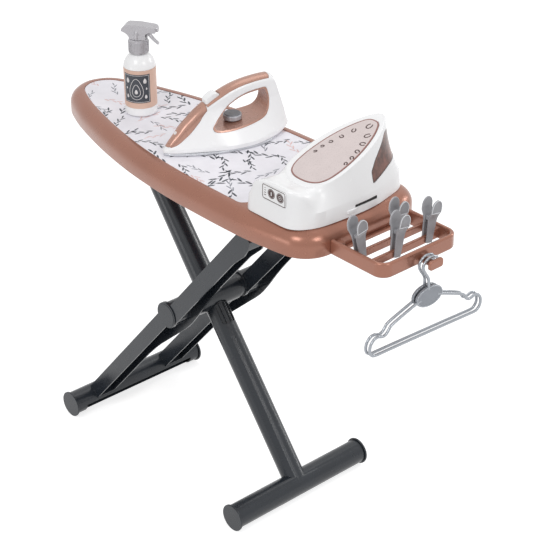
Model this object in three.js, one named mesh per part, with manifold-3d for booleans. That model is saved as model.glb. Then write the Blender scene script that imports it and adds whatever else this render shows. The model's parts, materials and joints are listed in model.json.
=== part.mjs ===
// A toy ironing board on folding legs, with a steam station, an iron, a spray bottle, pegs and hangers.
// Millimetres, +Z up. +X runs along the board from its nose to the peg rack, +Y across it.
// The origin is on the floor under the middle of the whole toy.

import * as THREE from 'three';
import { mergeVertices } from 'three/addons/utils/BufferGeometryUtils.js';
import Module from 'manifold-3d';

const wasm = await Module();
wasm.setup();

// Clearances
const seatGap = 0.3;
const flushGap = 0.25;
const runningGap = 0.6;

// Board, carried by the legs at the height that their link gives
const boardRimHeight = 0.5;
const noseReach = 386;
const skirtEnd = 252;
const skirtHeight = 35.5;
const skirtWall = 3;
const topSkin = 3;
const shoulderWidth = 20;
const shoulderDrop = 21;
const printThickness = 2;
const printRecess = 2.3;
const printEnd = 116;
const printCorner = 14;
const printInset = 3;

const boardHalf = 125;

// The skirt's outline: share of the reach to the nose or the wide end, and share of the half width
const outlineShares = [
  [-1, 0], [-0.9819, 0.208], [-0.9378, 0.368], [-0.8549, 0.496], [-0.7383, 0.624], [-0.544, 0.784], [-0.3238, 0.912],
  [-0.1036, 0.98], [0.1786, 1], [0.5159, 0.992], [0.746, 0.944],
];
const endCornerRadius = 46;
const endCornerTuck = 3;
const noseStep = 4;
const outlineSamples = 28;

// Legs, seen from the side: the pivot, the two arms that reach up to the board and the two feet
const pivotAcross = -82;
const pivotHeight = 272;
const armLength = 280;
const armAngle = THREE.MathUtils.degToRad(49.3);
const innerLegAngle = THREE.MathUtils.degToRad(52);
const footRadius = 18.9;
const capRadius = 21.4;
const footReachOuter = (pivotHeight - capRadius) / Math.sin(armAngle);
const footReachInner = (pivotHeight - capRadius) / Math.sin(innerLegAngle);

// Where the three joints of the leg linkage lie, and the ironing surface above the upper two
const linkDrop = 55.722;
const armRise = armLength * Math.sin(armAngle);
const armRun = armLength * Math.cos(armAngle);
const linkHeight = pivotHeight + armRise;
const hingeX = pivotAcross - armRun;
const catchX = pivotAcross + armRun;
const boardTop = linkHeight + linkDrop;
const capThickness = 3;
const footHalfWidth = 131;
const footPlugLength = 14;

// Outer leg, U-section rails
const railOuterFace = 90;
const railWidth = 36;
const railWall = 3;
const lowerRailHalfDepth = 12;
const upperRailTop = 6.5;
const upperRailBottom = -20;
const upperRailRecess = 1.5;
const upperRailEndDrop = 4;
const hubRadius = 21;
const hubStubRadius = 18.5;
const topBarRadius = 7;
const topLugRadius = 11;
const footOpeningHalf = 11;
const footWall = 2.6;

// Inner leg, round tube
const tubeRadius = 18;
const tubeTopRadius = 17.3;
const tubeMouthRadius = 19.3;
const tubeWall = 2.6;
const sleeveRadius = 20.5;
const sleeveHalf = 44;
const pinRadius = 5;
const topEyeRadius = 10;
const topEyeHalf = 20;
const hingePinRadius = 4;
const recessStart = 17;
const recessLength = 32;
const recessHalf = 12;

// Peg rack, hung below the ironing surface
const rackEnd = 350.5;
const rackHalf = 72;
const rackMiddle = 5;
const rackTop = boardTop - 13;
const rackBottom = boardTop - 35;
const rackWall = 6.5;
const rackCorner = 18;
const slatCentres = [287.8, 315.2];
const slatThickness = 5;
const slatBottom = rackTop - 20.3;
const slatTop = rackTop - 9;
const knobRadius = 5;
const knobAcross = 7;
const knobHeight = rackTop - 15.5;
const knobHeadStart = 371;
const knobHeadLength = 5;
const knobHeadHalf = 12.5;
const knobHeadHalfHeight = 6.5;
const knobHeadRise = 2;

// Steam station
const stationLeft = 120.5;
const stationRight = 241.4;
const stationHalf = 107.5;
const stationCrease = 21;
const creaseInset = 1.8;
const stationHump = 54.5;
const stationWall = 3;
const plateCentre = 185;
const plateHalf = 37;
const plateNear = -62;
const plateFar = 86;
const plateLowHeight = 48.5;
const plateSlope = 0.317;
const plateThickness = 1.2;
const plateRim = 7.5;
const plateShift = 1.5;
const plateTrim = 1.6;
const panelLeft = 158;
const panelWidth = 44;
const panelHeight = 22;
const panelMiddle = 39;

// Iron, measured from the tip of its sole
const ironNose = [-78, -85.5];
const ironTurn = THREE.MathUtils.degToRad(-12.5);
const soleLength = 172;
const soleHalf = 41;
const soleThickness = 3.5;
const ironShellWall = 3;
const dialRadius = 13.5;
const dialSeat = 112.5;

// Spray bottle
const bottleCentre = [-222, -13.5];
const bottleRadius = 24.6;
const bottleTurn = THREE.MathUtils.degToRad(35);

// Clothes pegs: which slat and where along it
const pegPlaces = [
  { slat: 0, along: -46.8, lean: 9 },
  { slat: 0, along: 19.8, lean: -6 },
  { slat: 1, along: -7.9, lean: -9 },
  { slat: 1, along: 52.3, lean: -9 },
];

// Hangers: distance along the knob
const hangerPlaces = [364, 356.6];
const hangerThickness = 4.2;

// Finishes
const finish = {
  roseGold: new THREE.MeshStandardMaterial({ color: 0xb98270, roughness: 0.35, metalness: 0.35 }),
  anthracite: new THREE.MeshStandardMaterial({ color: 0x46494e, roughness: 0.4, metalness: 0 }),
  white: new THREE.MeshStandardMaterial({ color: 0xf2f2f1, roughness: 0.25, metalness: 0 }),
  print: new THREE.MeshStandardMaterial({ color: 0xece9f1, roughness: 0.6, metalness: 0 }),
  blush: new THREE.MeshStandardMaterial({ color: 0xe3d3d0, roughness: 0.35, metalness: 0 }),
  smoke: new THREE.MeshStandardMaterial({ color: 0x6b4b45, roughness: 0.12, metalness: 0 }),
  silver: new THREE.MeshStandardMaterial({ color: 0xa3a8ae, roughness: 0.35, metalness: 0.3 }),
  slate: new THREE.MeshStandardMaterial({ color: 0x8b9097, roughness: 0.5, metalness: 0 }),
  head: new THREE.MeshStandardMaterial({ color: 0xa9a5a8, roughness: 0.4, metalness: 0 }),
  wrap: new THREE.MeshStandardMaterial({ color: 0xddb9a6, roughness: 0.5, metalness: 0 }),
  steel: new THREE.MeshStandardMaterial({ color: 0xb9bcc0, roughness: 0.3, metalness: 0.9 }),
};

// Turning geometries into solids and back
function solidOf(geometry) {
  const bare = geometry.clone();
  bare.deleteAttribute('normal');
  bare.deleteAttribute('uv');
  const merged = mergeVertices(bare, 1e-4);
  const vertProperties = new Float32Array(merged.attributes.position.array);
  const triVerts = new Uint32Array(merged.index.array);
  const made = new wasm.Manifold(new wasm.Mesh({ numProp: 3, vertProperties, triVerts }));
  if (made.volume() > 0) return made;
  return new wasm.Manifold(new wasm.Mesh({ numProp: 3, vertProperties, triVerts: triVerts.reverse() }));
}

function geometryOf(solid) {
  const mesh = solid.getMesh();
  const geometry = new THREE.BufferGeometry();
  geometry.setAttribute('position', new THREE.BufferAttribute(new Float32Array(mesh.vertProperties), 3));
  geometry.setIndex(new THREE.BufferAttribute(new Uint32Array(mesh.triVerts), 1));
  geometry.computeVertexNormals();
  return geometry;
}

function piece(name, solid, material) {
  const mesh = new THREE.Mesh(geometryOf(solid), material);
  mesh.name = name;
  return mesh;
}

const joined = (first, ...others) => others.reduce((whole, part) => whole.add(part), first);
const cut = (first, ...others) => others.reduce((whole, part) => whole.subtract(part), first);

// Basic solids
function box(fromX, toX, fromY, toY, fromZ, toZ) {
  const geometry = new THREE.BoxGeometry(toX - fromX, toY - fromY, toZ - fromZ);
  geometry.translate((fromX + toX) / 2, (fromY + toY) / 2, (fromZ + toZ) / 2);
  return solidOf(geometry);
}

// A round bar along Y
function barY(radius, fromY, toY, x = 0, z = 0, sides = 20) {
  const geometry = new THREE.CylinderGeometry(radius, radius, toY - fromY, sides);
  geometry.translate(x, (fromY + toY) / 2, z);
  return solidOf(geometry);
}

// A round bar along X
function barX(radius, fromX, toX, y = 0, z = 0, sides = 20, endRadius = radius) {
  const geometry = new THREE.CylinderGeometry(endRadius, radius, toX - fromX, sides);
  geometry.rotateZ(-Math.PI / 2);
  geometry.translate((fromX + toX) / 2, y, z);
  return solidOf(geometry);
}

// A round bar along Z
function barZ(radius, fromZ, toZ, x = 0, y = 0, sides = 20) {
  const geometry = new THREE.CylinderGeometry(radius, radius, toZ - fromZ, sides);
  geometry.rotateX(Math.PI / 2);
  geometry.translate(x, y, (fromZ + toZ) / 2);
  return solidOf(geometry);
}

// A plan outline raised along Z, with an optional rounded rim at both ends
function raised(shape, fromZ, toZ, bevel = {}) {
  const { width = 0, drop = 0, steps = 4 } = bevel;
  const geometry = new THREE.ExtrudeGeometry(shape, {
    depth: toZ - fromZ - 2 * drop,
    bevelEnabled: drop > 0,
    bevelSize: width,
    bevelThickness: drop,
    bevelOffset: -width,
    bevelSegments: steps,
    curveSegments: 8,
  });
  geometry.translate(0, 0, fromZ + drop);
  return solidOf(geometry);
}

// A side outline, drawn with X across and Z up, pushed along Y
function pushed(shape, fromY, toY, curveSegments = 8) {
  const geometry = new THREE.ExtrudeGeometry(shape, { depth: toY - fromY, bevelEnabled: false, curveSegments });
  geometry.rotateX(Math.PI / 2);
  geometry.translate(0, toY, 0);
  return solidOf(geometry);
}

// An outline drawn with Y across and Z up, pushed along X
function pushedX(shape, fromX, toX, curveSegments = 8) {
  const geometry = new THREE.ExtrudeGeometry(shape, { depth: toX - fromX, bevelEnabled: false, curveSegments });
  geometry.rotateX(Math.PI / 2);
  geometry.rotateZ(Math.PI / 2);
  geometry.translate(fromX, 0, 0);
  return solidOf(geometry);
}

// A turned solid about Z from a profile of [radius, height] pairs
function turned(profile, sides = 24) {
  const points = profile.map(([radius, height]) => new THREE.Vector2(radius, height));
  const geometry = new THREE.LatheGeometry(points, sides);
  geometry.rotateX(Math.PI / 2);
  return solidOf(geometry);
}

function roundedRectangle(left, right, low, high, radius) {
  const shape = new THREE.Shape();
  shape.moveTo(left + radius, low);
  shape.lineTo(right - radius, low);
  shape.absarc(right - radius, low + radius, radius, -Math.PI / 2, 0);
  shape.lineTo(right, high - radius);
  shape.absarc(right - radius, high - radius, radius, 0, Math.PI / 2);
  shape.lineTo(left + radius, high);
  shape.absarc(left + radius, high - radius, radius, Math.PI / 2, Math.PI);
  shape.lineTo(left, low + radius);
  shape.absarc(left + radius, low + radius, radius, Math.PI, 1.5 * Math.PI);
  return shape;
}

const outlineShape = (points) => new THREE.Shape(points.map(([x, y]) => new THREE.Vector2(x, y)));

// A solid skinned over rings of equally many points, each ring a list of Vector3
function lofted(rings) {
  const count = rings[0].length;
  const positions = [];
  const index = [];
  for (const ring of rings) {
    for (const point of ring) positions.push(point.x, point.y, point.z);
  }
  for (let level = 0; level + 1 < rings.length; level += 1) {
    for (let i = 0; i < count; i += 1) {
      const a = level * count + i;
      const b = level * count + ((i + 1) % count);
      index.push(a, b, b + count, a, b + count, a + count);
    }
  }
  const addCap = (ring, offset, flip) => {
    const centre = ring.reduce((sum, point) => sum.add(point), new THREE.Vector3()).divideScalar(count);
    const middle = positions.length / 3;
    positions.push(centre.x, centre.y, centre.z);
    for (let i = 0; i < count; i += 1) {
      const next = (i + 1) % count;
      if (flip) index.push(middle, offset + next, offset + i);
      else index.push(middle, offset + i, offset + next);
    }
  };
  addCap(rings[0], 0, true);
  addCap(rings[rings.length - 1], (rings.length - 1) * count, false);
  const geometry = new THREE.BufferGeometry();
  geometry.setAttribute('position', new THREE.Float32BufferAttribute(positions, 3));
  geometry.setIndex(index);
  return solidOf(geometry);
}

const planSegments = 5;

// Plan outlines at rising heights, skinned into one solid
function stacked(planAt, levels) {
  return lofted(levels.map(([inset, z]) => {
    const points = planAt(inset).getPoints(planSegments);
    const ring = points.filter((point, i) => i === 0 || point.distanceTo(points[i - 1]) > 1e-3);
    if (ring[0].distanceTo(ring.at(-1)) < 1e-3) ring.pop();
    return ring.map((point) => new THREE.Vector3(point.x, point.y, z));
  }));
}

// A closed outline without points that fall on one another
function closedShape(points) {
  const apart = points.filter((point, i) => point.distanceTo(points[(i + points.length - 1) % points.length]) > 1e-3);
  return new THREE.Shape(apart);
}

// A closed ring of points, each moved in from the edge by the inset
function insetRing(ring, inset) {
  if (inset === 0) return ring;
  return ring.map((point, i) => {
    const before = ring[(i + ring.length - 1) % ring.length];
    const after = ring[(i + 1) % ring.length];
    const along = after.clone().sub(before).normalize();
    return new THREE.Vector2(point.x - along.y * inset, point.y + along.x * inset);
  });
}

// Board outline: a spline from the nose to the wide end, mirrored, with round end corners
function boardOutline(inset = 0) {
  const side = outlineShares.map(([reach, half]) => new THREE.Vector2(reach * (reach < 0 ? noseReach : skirtEnd),
    -half * boardHalf));
  const spline = new THREE.SplineCurve([new THREE.Vector2(side[1].x, -side[1].y), ...side]);
  const sampled = spline.getPoints(outlineSamples).filter((point) => point.y < -noseStep);
  const corner = new THREE.EllipseCurve(
    skirtEnd - endCornerRadius, side.at(-1).y + endCornerRadius + endCornerTuck,
    endCornerRadius, endCornerRadius, -Math.PI * 0.42, 0,
  ).getPoints(6);
  const near = [new THREE.Vector2(-noseReach, 0), ...sampled, ...corner];
  const far = near.slice(1).reverse().map((point) => new THREE.Vector2(point.x, -point.y));
  const ring = [...near, ...far];
  return insetRing(ring, inset);
}

const outerShoulderSteps = 5;
const innerShoulderSteps = 2;

// The rounded shoulder of the shell, as rings from the skirt's edge up to the flat rim
function boardVolume(wall, bottom, top, shoulderSteps = outerShoulderSteps) {
  const rings = [];
  const level = (inset, z) => boardOutline(inset).map((point) => new THREE.Vector3(point.x, point.y, z));
  rings.push(level(wall, bottom));
  for (let step = 0; step <= shoulderSteps; step += 1) {
    const turn = (step / shoulderSteps) * (Math.PI / 2);
    const inward = (shoulderWidth - wall) * (1 - Math.cos(turn));
    const z = top - shoulderDrop + shoulderDrop * Math.sin(turn);
    rings.push(level(wall + inward, z));
  }
  return lofted(rings);
}

function printOutline(grow) {
  const edge = boardOutline(shoulderWidth + printInset - grow).filter((point) => point.x < printEnd - printCorner);
  const half = Math.max(...edge.map((point) => point.y));
  const cornerX = printEnd - printCorner;
  const corner = (from, to, side) => new THREE.EllipseCurve(
    cornerX, side * (half - printCorner), printCorner + grow, printCorner + grow, from, to,
  ).getPoints(5);
  const near = edge.filter((point) => point.y <= 0);
  const far = edge.filter((point) => point.y > 0);
  return closedShape([
    ...near, ...corner(-Math.PI / 2, 0, -1), ...corner(0, Math.PI / 2, 1), ...far,
  ]);
}

const rimTop = boardTop + boardRimHeight;
const skirtBottom = rimTop - skirtHeight;
const recessFloor = boardTop - printRecess;
const skinUnderside = recessFloor - topSkin;

const ribHeight = 9;
const ribThickness = 2.4;
const ribSpacing = 62;
const ribCount = 7;
const screwBossRadius = 6;
const rackScrewPlaces = [-60, 62];
const screwBossLength = 16;
const rackScrewHeight = rackTop - 12;
const rackScrewRadius = 2.2;

function boardShell() {
  const outer = boardVolume(0, skirtBottom, rimTop);
  const hollow = boardVolume(skirtWall, skirtBottom - 1, skinUnderside, innerShoulderSteps);
  const recess = raised(printOutline(seatGap), recessFloor, rimTop + 1);
  let shell = cut(outer, hollow, recess);
  const inside = boardVolume(skirtWall / 2, skirtBottom + 1, skinUnderside + topSkin / 2, innerShoulderSteps);
  const ribs = [];
  for (let i = 0; i < ribCount; i += 1) {
    const x = catchX + 46 - ribSpacing * (i + 0.5);
    ribs.push(box(x - ribThickness / 2, x + ribThickness / 2, -footHalfWidth, footHalfWidth,
      skinUnderside - ribHeight, skinUnderside + topSkin / 2));
  }
  ribs.push(box(-noseReach + 40, hingeX - 40, -ribThickness / 2, ribThickness / 2,
    skinUnderside - ribHeight, skinUnderside + topSkin / 2));
  const ribbing = joined(...ribs).intersect(inside);
  shell = shell.add(ribbing);
  const bosses = rackScrewPlaces.map((y) => barX(screwBossRadius, skirtEnd - screwBossLength, skirtEnd - 1,
    y, rackScrewHeight, 20));
  shell = joined(shell, ...bosses);
  const bores = rackScrewPlaces.map((y) => barX(rackScrewRadius + seatGap, skirtEnd - screwBossLength - 1,
    skirtEnd + 1, y, rackScrewHeight, 16));
  return cut(shell, ...bores, bracketSeat(), ...catchSeats());
}

function printedSurface() {
  return raised(printOutline(0), recessFloor, recessFloor + printThickness);
}

// Brackets under the board
const bracketHalfLength = 30;
const bracketPlate = 4;
const earGap = 24;
const earThickness = 5;
const earFootHalf = 24;
const earTipRadius = 11;

// Ribs are cut back where a bracket sits
function bracketSeat() {
  return box(hingeX - bracketHalfLength - 1, hingeX + bracketHalfLength + 1, -earGap - 16, earGap + 16,
    skirtBottom, skinUnderside);
}

function earProfile(x, z, footHalf, tipRadius, top) {
  const shape = new THREE.Shape();
  shape.moveTo(x - footHalf, top);
  shape.lineTo(x - tipRadius, z);
  shape.absarc(x, z, tipRadius, Math.PI, 2 * Math.PI);
  shape.lineTo(x + footHalf, top);
  shape.closePath();
  return shape;
}

function innerLegBracket() {
  const plateTop = skinUnderside - seatGap;
  const plateBottom = plateTop - bracketPlate;
  const plate = raised(roundedRectangle(hingeX - bracketHalfLength, hingeX + bracketHalfLength,
    -earGap - 14, earGap + 14, 6), plateBottom, plateTop);
  const ear = earProfile(hingeX, linkHeight, earFootHalf, earTipRadius, plateBottom + 1);
  const ears = [-1, 1].map((side) => pushed(ear,
    side > 0 ? earGap : -earGap - earThickness, side > 0 ? earGap + earThickness : -earGap));
  const bore = barY(hingePinRadius + seatGap, -earGap - 10, earGap + 10, hingeX, linkHeight, 24);
  return cut(joined(plate, ...ears), bore);
}

function innerLegPin() {
  const shaftHalf = earGap + earThickness + 1;
  const shaft = barY(hingePinRadius, -shaftHalf, shaftHalf, hingeX, linkHeight, 24);
  const heads = [-1, 1].map((side) => barY(hingePinRadius + 3,
    side > 0 ? shaftHalf - 0.7 : -shaftHalf - 2, side > 0 ? shaftHalf + 2 : -shaftHalf + 0.7,
    hingeX, linkHeight, 24));
  return joined(shaft, ...heads);
}

// Catches: saddles open towards the wide end, holding the top bar of the outer leg
const catchHalfGap = 27;
const catchThickness = 7;
const catchBack = 17;
const catchFront = 22;
const catchFootHalf = 32;
const catchFlange = 12;

const catchSide = (side) => (side > 0 ? [catchHalfGap, catchHalfGap + catchThickness]
  : [-catchHalfGap - catchThickness, -catchHalfGap]);

function catchSeats() {
  return [-1, 1].map((side) => box(catchX - catchFootHalf - 1, catchX + catchFootHalf + 1,
    side > 0 ? catchHalfGap - 3 : -catchHalfGap - catchThickness - catchFlange - 1,
    side > 0 ? catchHalfGap + catchThickness + catchFlange + 1 : -catchHalfGap + 3,
    skirtBottom, skinUnderside));
}

function legCatch(side) {
  const [low, high] = catchSide(side);
  const top = skinUnderside - seatGap;
  const jaw = topBarRadius + runningGap;
  const shape = new THREE.Shape();
  shape.moveTo(catchX - catchFootHalf, top);
  shape.lineTo(catchX - catchBack, linkHeight);
  shape.absarc(catchX - 2, linkHeight, catchBack - 2, Math.PI, 1.5 * Math.PI);
  shape.lineTo(catchX + catchFront, linkHeight - catchBack + 2);
  shape.lineTo(catchX + catchFront, linkHeight - jaw);
  shape.lineTo(catchX, linkHeight - jaw);
  shape.absarc(catchX, linkHeight, jaw, 1.5 * Math.PI, Math.PI / 2, true);
  shape.lineTo(catchX + catchFront, linkHeight + jaw);
  shape.lineTo(catchX + catchFootHalf, top);
  shape.closePath();
  const saddle = pushed(shape, low, high);
  const flangeFrom = side > 0 ? high - 1 : low - catchFlange;
  const flangeTo = side > 0 ? high + catchFlange : low + 1;
  const flange = box(catchX - catchFootHalf + 2, catchX + catchFootHalf - 2, flangeFrom, flangeTo, top - 4, top);
  return joined(saddle, flange);
}

// Peg rack with its slats and hanger knob
const rackStart = skirtEnd + flushGap;
const rackBlock = 11;
const rackEdge = 3;
const rackSill = 5;
const rackRange = (inset) => [rackMiddle - rackHalf + inset, rackMiddle + rackHalf - inset];

function rackPlan(inset) {
  return roundedRectangle(rackStart - 3 * rackCorner, rackEnd - inset, ...rackRange(inset), rackCorner - inset);
}

function pegRack() {
  const body = stacked(rackPlan, [
    [1, rackBottom], [0, rackBottom + 1], [0, rackTop - rackEdge], [rackEdge / 3, rackTop - rackEdge / 3],
    [rackEdge, rackTop],
  ]);
  const opening = raised(roundedRectangle(rackStart - 2 * rackCorner, rackEnd - rackWall, ...rackRange(rackWall),
    rackCorner - rackWall), rackBottom - 1, rackTop + 1);
  const front = box(rackStart - 4 * rackCorner, rackStart, ...rackRange(-1), rackBottom - 1, rackTop + 1);
  const [low, high] = rackRange(rackWall - 1);
  const additions = [box(rackStart, rackStart + rackSill, low, high, rackBottom + 0.5, rackBottom + rackSill)];
  additions.push(box(rackStart, rackStart + rackBlock, low, low + rackBlock, rackBottom + 1.5, rackTop - 4));
  additions.push(box(rackStart, rackStart + rackBlock, high - rackBlock, high, rackBottom + 1.5, rackTop - 4));
  for (const x of slatCentres) {
    additions.push(box(x - slatThickness / 2, x + slatThickness / 2, low, high, slatBottom, slatTop));
  }
  additions.push(barX(knobRadius, rackEnd - 3, knobHeadStart + 2, knobAcross, knobHeight, 24));
  const headMiddle = knobHeight + knobHeadRise;
  const headShape = roundedRectangle(knobAcross - knobHeadHalf, knobAcross + knobHeadHalf,
    headMiddle - knobHeadHalfHeight, headMiddle + knobHeadHalfHeight, 4);
  additions.push(pushedX(headShape, knobHeadStart, knobHeadStart + knobHeadLength, 4));
  const bores = rackScrewPlaces.map((y) => barX(rackScrewRadius + seatGap, rackStart - 1, rackStart + rackBlock - 2,
    y, rackScrewHeight, 16));
  return cut(joined(cut(body, opening, front), ...additions), ...bores);
}

function rackScrew(y) {
  const headEnd = skirtEnd - screwBossLength - seatGap;
  const head = barX(rackScrewRadius * 2, headEnd - 2.6, headEnd, y, rackScrewHeight, 20);
  const shank = barX(rackScrewRadius, headEnd - 1, rackStart + rackBlock - 3, y, rackScrewHeight, 14);
  return head.add(shank);
}

// Outer leg, in its own frame: the pivot at the origin, +X up the arm towards the board
function railSpan(side) {
  return side > 0 ? [railOuterFace - railWidth, railOuterFace] : [-railOuterFace, -railOuterFace + railWidth];
}

// Lower edge of the flange that swells round the hub, as [along, across] from the pivot
const flareEdge = [
  [-160, -12], [-120, -13.8], [-82, -18.7], [-46, -23.5], [-13, -27.5], [19, -26.5], [47, -23.7], [81, -21.4],
  [120, -20.5],
];

function flarePlate(fromX, toX, top, low, high) {
  const curve = new THREE.SplineCurve(flareEdge.map(([x, z]) => new THREE.Vector2(x, z)));
  const edge = curve.getPoints(18).filter((point) => point.x > fromX && point.x < toX);
  const start = edge[0].clone().setX(fromX);
  const end = edge.at(-1).clone().setX(toX);
  const shape = new THREE.Shape([start, ...edge, end, new THREE.Vector2(toX, top), new THREE.Vector2(fromX, top)]);
  return pushed(shape, low, high);
}

const hubDiscThickness = 6;
const hubCoreRadius = 13;
const knuckleRadius = 18.5;

// The upper rails stand a little back from the lower rails' outer faces
function upperSpan(side) {
  const [low, high] = railSpan(side);
  return [low + upperRailRecess, high];
}

function outerLegLowerFrame() {
  const parts = [];
  const cuts = [];
  const hubs = [];
  const farEnd = -footReachOuter + footRadius - 6;
  for (const side of [-1, 1]) {
    const [low, high] = railSpan(side);
    parts.push(box(farEnd, -6, low, high, -lowerRailHalfDepth, lowerRailHalfDepth));
    parts.push(flarePlate(-150, -seatGap, lowerRailHalfDepth - 1, high - railWall, high));
    cuts.push(box(farEnd + 8, -4, low + railWall, high - railWall, -lowerRailHalfDepth - 1,
      lowerRailHalfDepth - railWall));
    cuts.push(barY(knuckleRadius + runningGap, low + hubDiscThickness - 0.5, high + 1, 0, 0, 24));
    hubs.push(barY(hubRadius, low, low + hubDiscThickness, 0, 0, 24));
    hubs.push(barY(hubCoreRadius, low + hubDiscThickness - 1, high, 0, 0, 20));
    if (side > 0) hubs.push(barY(hubStubRadius, sleeveHalf + runningGap, low + 1, 0, 0, 20));
    else hubs.push(barY(hubCoreRadius, high - 1, -sleeveHalf - runningGap, 0, 0, 20));
  }
  const outerTube = barY(footRadius, -footHalfWidth + capThickness + seatGap, footHalfWidth - capThickness - seatGap,
    -footReachOuter, 0, 24);
  let frame = joined(cut(joined(...parts), ...cuts), ...hubs, outerTube);
  const hollow = barY(footRadius - footWall, -footHalfWidth, footHalfWidth, -footReachOuter, 0, 20);
  const slotHalf = footHalfWidth - capThickness - footPlugLength - 4;
  const slot = box(-footReachOuter - footOpeningHalf, -footReachOuter + footOpeningHalf, -slotHalf, slotHalf,
    -footRadius - 1, -4);
  const bore = barY(pinRadius + seatGap, -footHalfWidth, footHalfWidth, 0, 0, 24);
  frame = cut(frame, hollow, slot, bore);
  return frame;
}

const railEnd = armLength + topLugRadius;

function outerLegUpperRail(side) {
  const [from, to] = upperSpan(side);
  const discEnd = railSpan(side)[0] + hubDiscThickness + seatGap;
  const outline = outlineShape([[0, upperRailTop], [armLength, upperRailTop + 1], [armLength, upperRailBottom + 4],
    [armLength - 12, upperRailBottom - upperRailEndDrop + 3], [armLength - 28, upperRailBottom - upperRailEndDrop],
    [armLength - 60, upperRailBottom], [0, upperRailBottom]]);
  const tip = barY(topLugRadius, from, to, armLength, 0, 20);
  let rail = pushed(outline, from, to).add(tip);
  rail = rail.subtract(box(1, armLength - 16, from + railWall, to - railWall, upperRailBottom - 8,
    upperRailTop - railWall));
  const flare = flarePlate(0, 110, upperRailTop - 1, to - railWall, to);
  const knuckle = barY(knuckleRadius, discEnd, to, 0, 0, 24);
  const behindHub = box(-footReachOuter, 0, from - 2, to + 1, -60, 60);
  const discRoom = barY(hubRadius + seatGap, from - 2, discEnd, 0, 0, 24);
  const coreRoom = barY(hubCoreRadius + seatGap, from - 2, to + 1, 0, 0, 20);
  const barBore = barY(topBarRadius + seatGap, from - 2, to + 1, armLength, 0, 24);
  return cut(joined(cut(rail.add(flare), behindHub), knuckle), discRoom, coreRoom, barBore);
}

function outerLegTopBar() {
  return barY(topBarRadius, -railOuterFace + 4, railOuterFace - 4, armLength, 0, 24);
}

// A foot cap: a thin flanged disc with a plug inside the bar
function footCap(reach, side) {
  const face = footHalfWidth;
  const disc = side > 0 ? [face - capThickness, face] : [-face, -face + capThickness];
  const plug = side > 0 ? [face - capThickness - footPlugLength, face - capThickness + 0.5]
    : [-face + capThickness - 0.5, -face + capThickness + footPlugLength];
  const cap = barY(capRadius, disc[0], disc[1], reach, 0, 40);
  return cap.add(barY(footRadius - footWall - seatGap, plug[0], plug[1], reach, 0, 20));
}

function pivotAxle() {
  return barY(pinRadius, -railOuterFace + 3, railOuterFace - 3, 0, 0, 24);
}

// Inner leg, in its own frame: the pivot at the origin, +X down the arm towards the foot
const eyeTurn = innerLegAngle - armAngle;
const eyeX = -armLength * Math.cos(eyeTurn);
const eyeZ = -armLength * Math.sin(eyeTurn);
const upperTubeEnd = 22 - armLength;
const plugLength = 64;

function innerLegUpper() {
  const tube = barX(tubeTopRadius, upperTubeEnd, -4, 0, 0, 24, tubeMouthRadius);
  const core = barX(tubeRadius - tubeWall, upperTubeEnd + 14, -sleeveRadius + 2, 0, 0, 24);
  const sleeve = barY(sleeveRadius, -sleeveHalf, sleeveHalf, 0, 0, 24);
  const eye = barY(topEyeRadius, -topEyeHalf, topEyeHalf, eyeX, eyeZ, 20);
  const neck = new THREE.Shape();
  neck.moveTo(upperTubeEnd + 16, -tubeRadius + 3);
  neck.lineTo(eyeX + 2, eyeZ - topEyeRadius);
  neck.lineTo(eyeX - 4, eyeZ + topEyeRadius - 1);
  neck.lineTo(upperTubeEnd + 16, tubeRadius - 5);
  neck.closePath();
  const plug = barX(tubeRadius - tubeWall - seatGap, 4, plugLength, 0, 0, 24);
  const drain = box(-70, -54, -3, 3, -tubeRadius - 1, 0);
  const web = pushed(neck, -topEyeHalf + 5, topEyeHalf - 5);
  const body = cut(joined(tube, sleeve, eye, web, plug), core, drain);
  const pivotBore = barY(pinRadius + seatGap, -sleeveHalf - 1, sleeveHalf + 1, 0, 0, 24);
  const eyeBore = barY(hingePinRadius + seatGap, -topEyeHalf - 1, topEyeHalf + 1, eyeX, eyeZ, 20);
  return cut(body, pivotBore, eyeBore);
}

function innerLegLower() {
  const start = sleeveRadius - 4;
  const tube = barX(tubeRadius, start, footReachInner, 0, 0, 24);
  const bar = barY(footRadius, -footHalfWidth + capThickness + seatGap, footHalfWidth - capThickness - seatGap,
    footReachInner, 0, 24);
  const barHollow = barY(footRadius - footWall, -footHalfWidth, footHalfWidth, footReachInner, 0, 20);
  const tubeHollow = barX(tubeRadius - tubeWall, start - 1, footReachInner - footRadius + 1, 0, 0, 24);
  const sleeveRoom = barY(sleeveRadius + seatGap, -sleeveHalf - 4, sleeveHalf + 4, 0, 0, 24);
  const window = raised(roundedRectangle(recessStart, recessStart + recessLength, -recessHalf, recessHalf, 5),
    tubeRadius - tubeWall - 4, tubeRadius + 4);
  let lower = cut(tube.add(bar), barHollow, tubeHollow, sleeveRoom, window);
  for (const side of [-1, 1]) {
    const y = side * 5;
    lower = lower.add(box(recessStart - 1, recessStart + recessLength + 1, y - 1, y + 1,
      tubeRadius - tubeWall + 0.1, tubeRadius - 1));
  }
  return lower;
}

// Steam station
const stationFloor = rimTop + seatGap;
const stationCorner = 18;
const cornerSegments = 4;

// The station's bulging right side and its far corners, as shares of its width and half length
const stationSideShares = [
  [0.177, -1], [0.479, -0.977], [0.727, -0.87], [0.91, -0.651], [0.972, -0.326], [1, 0], [0.965, 0.298],
  [0.855, 0.554], [0.718, 0.806], [0.479, 0.958], [0.177, 1],
];

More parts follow.
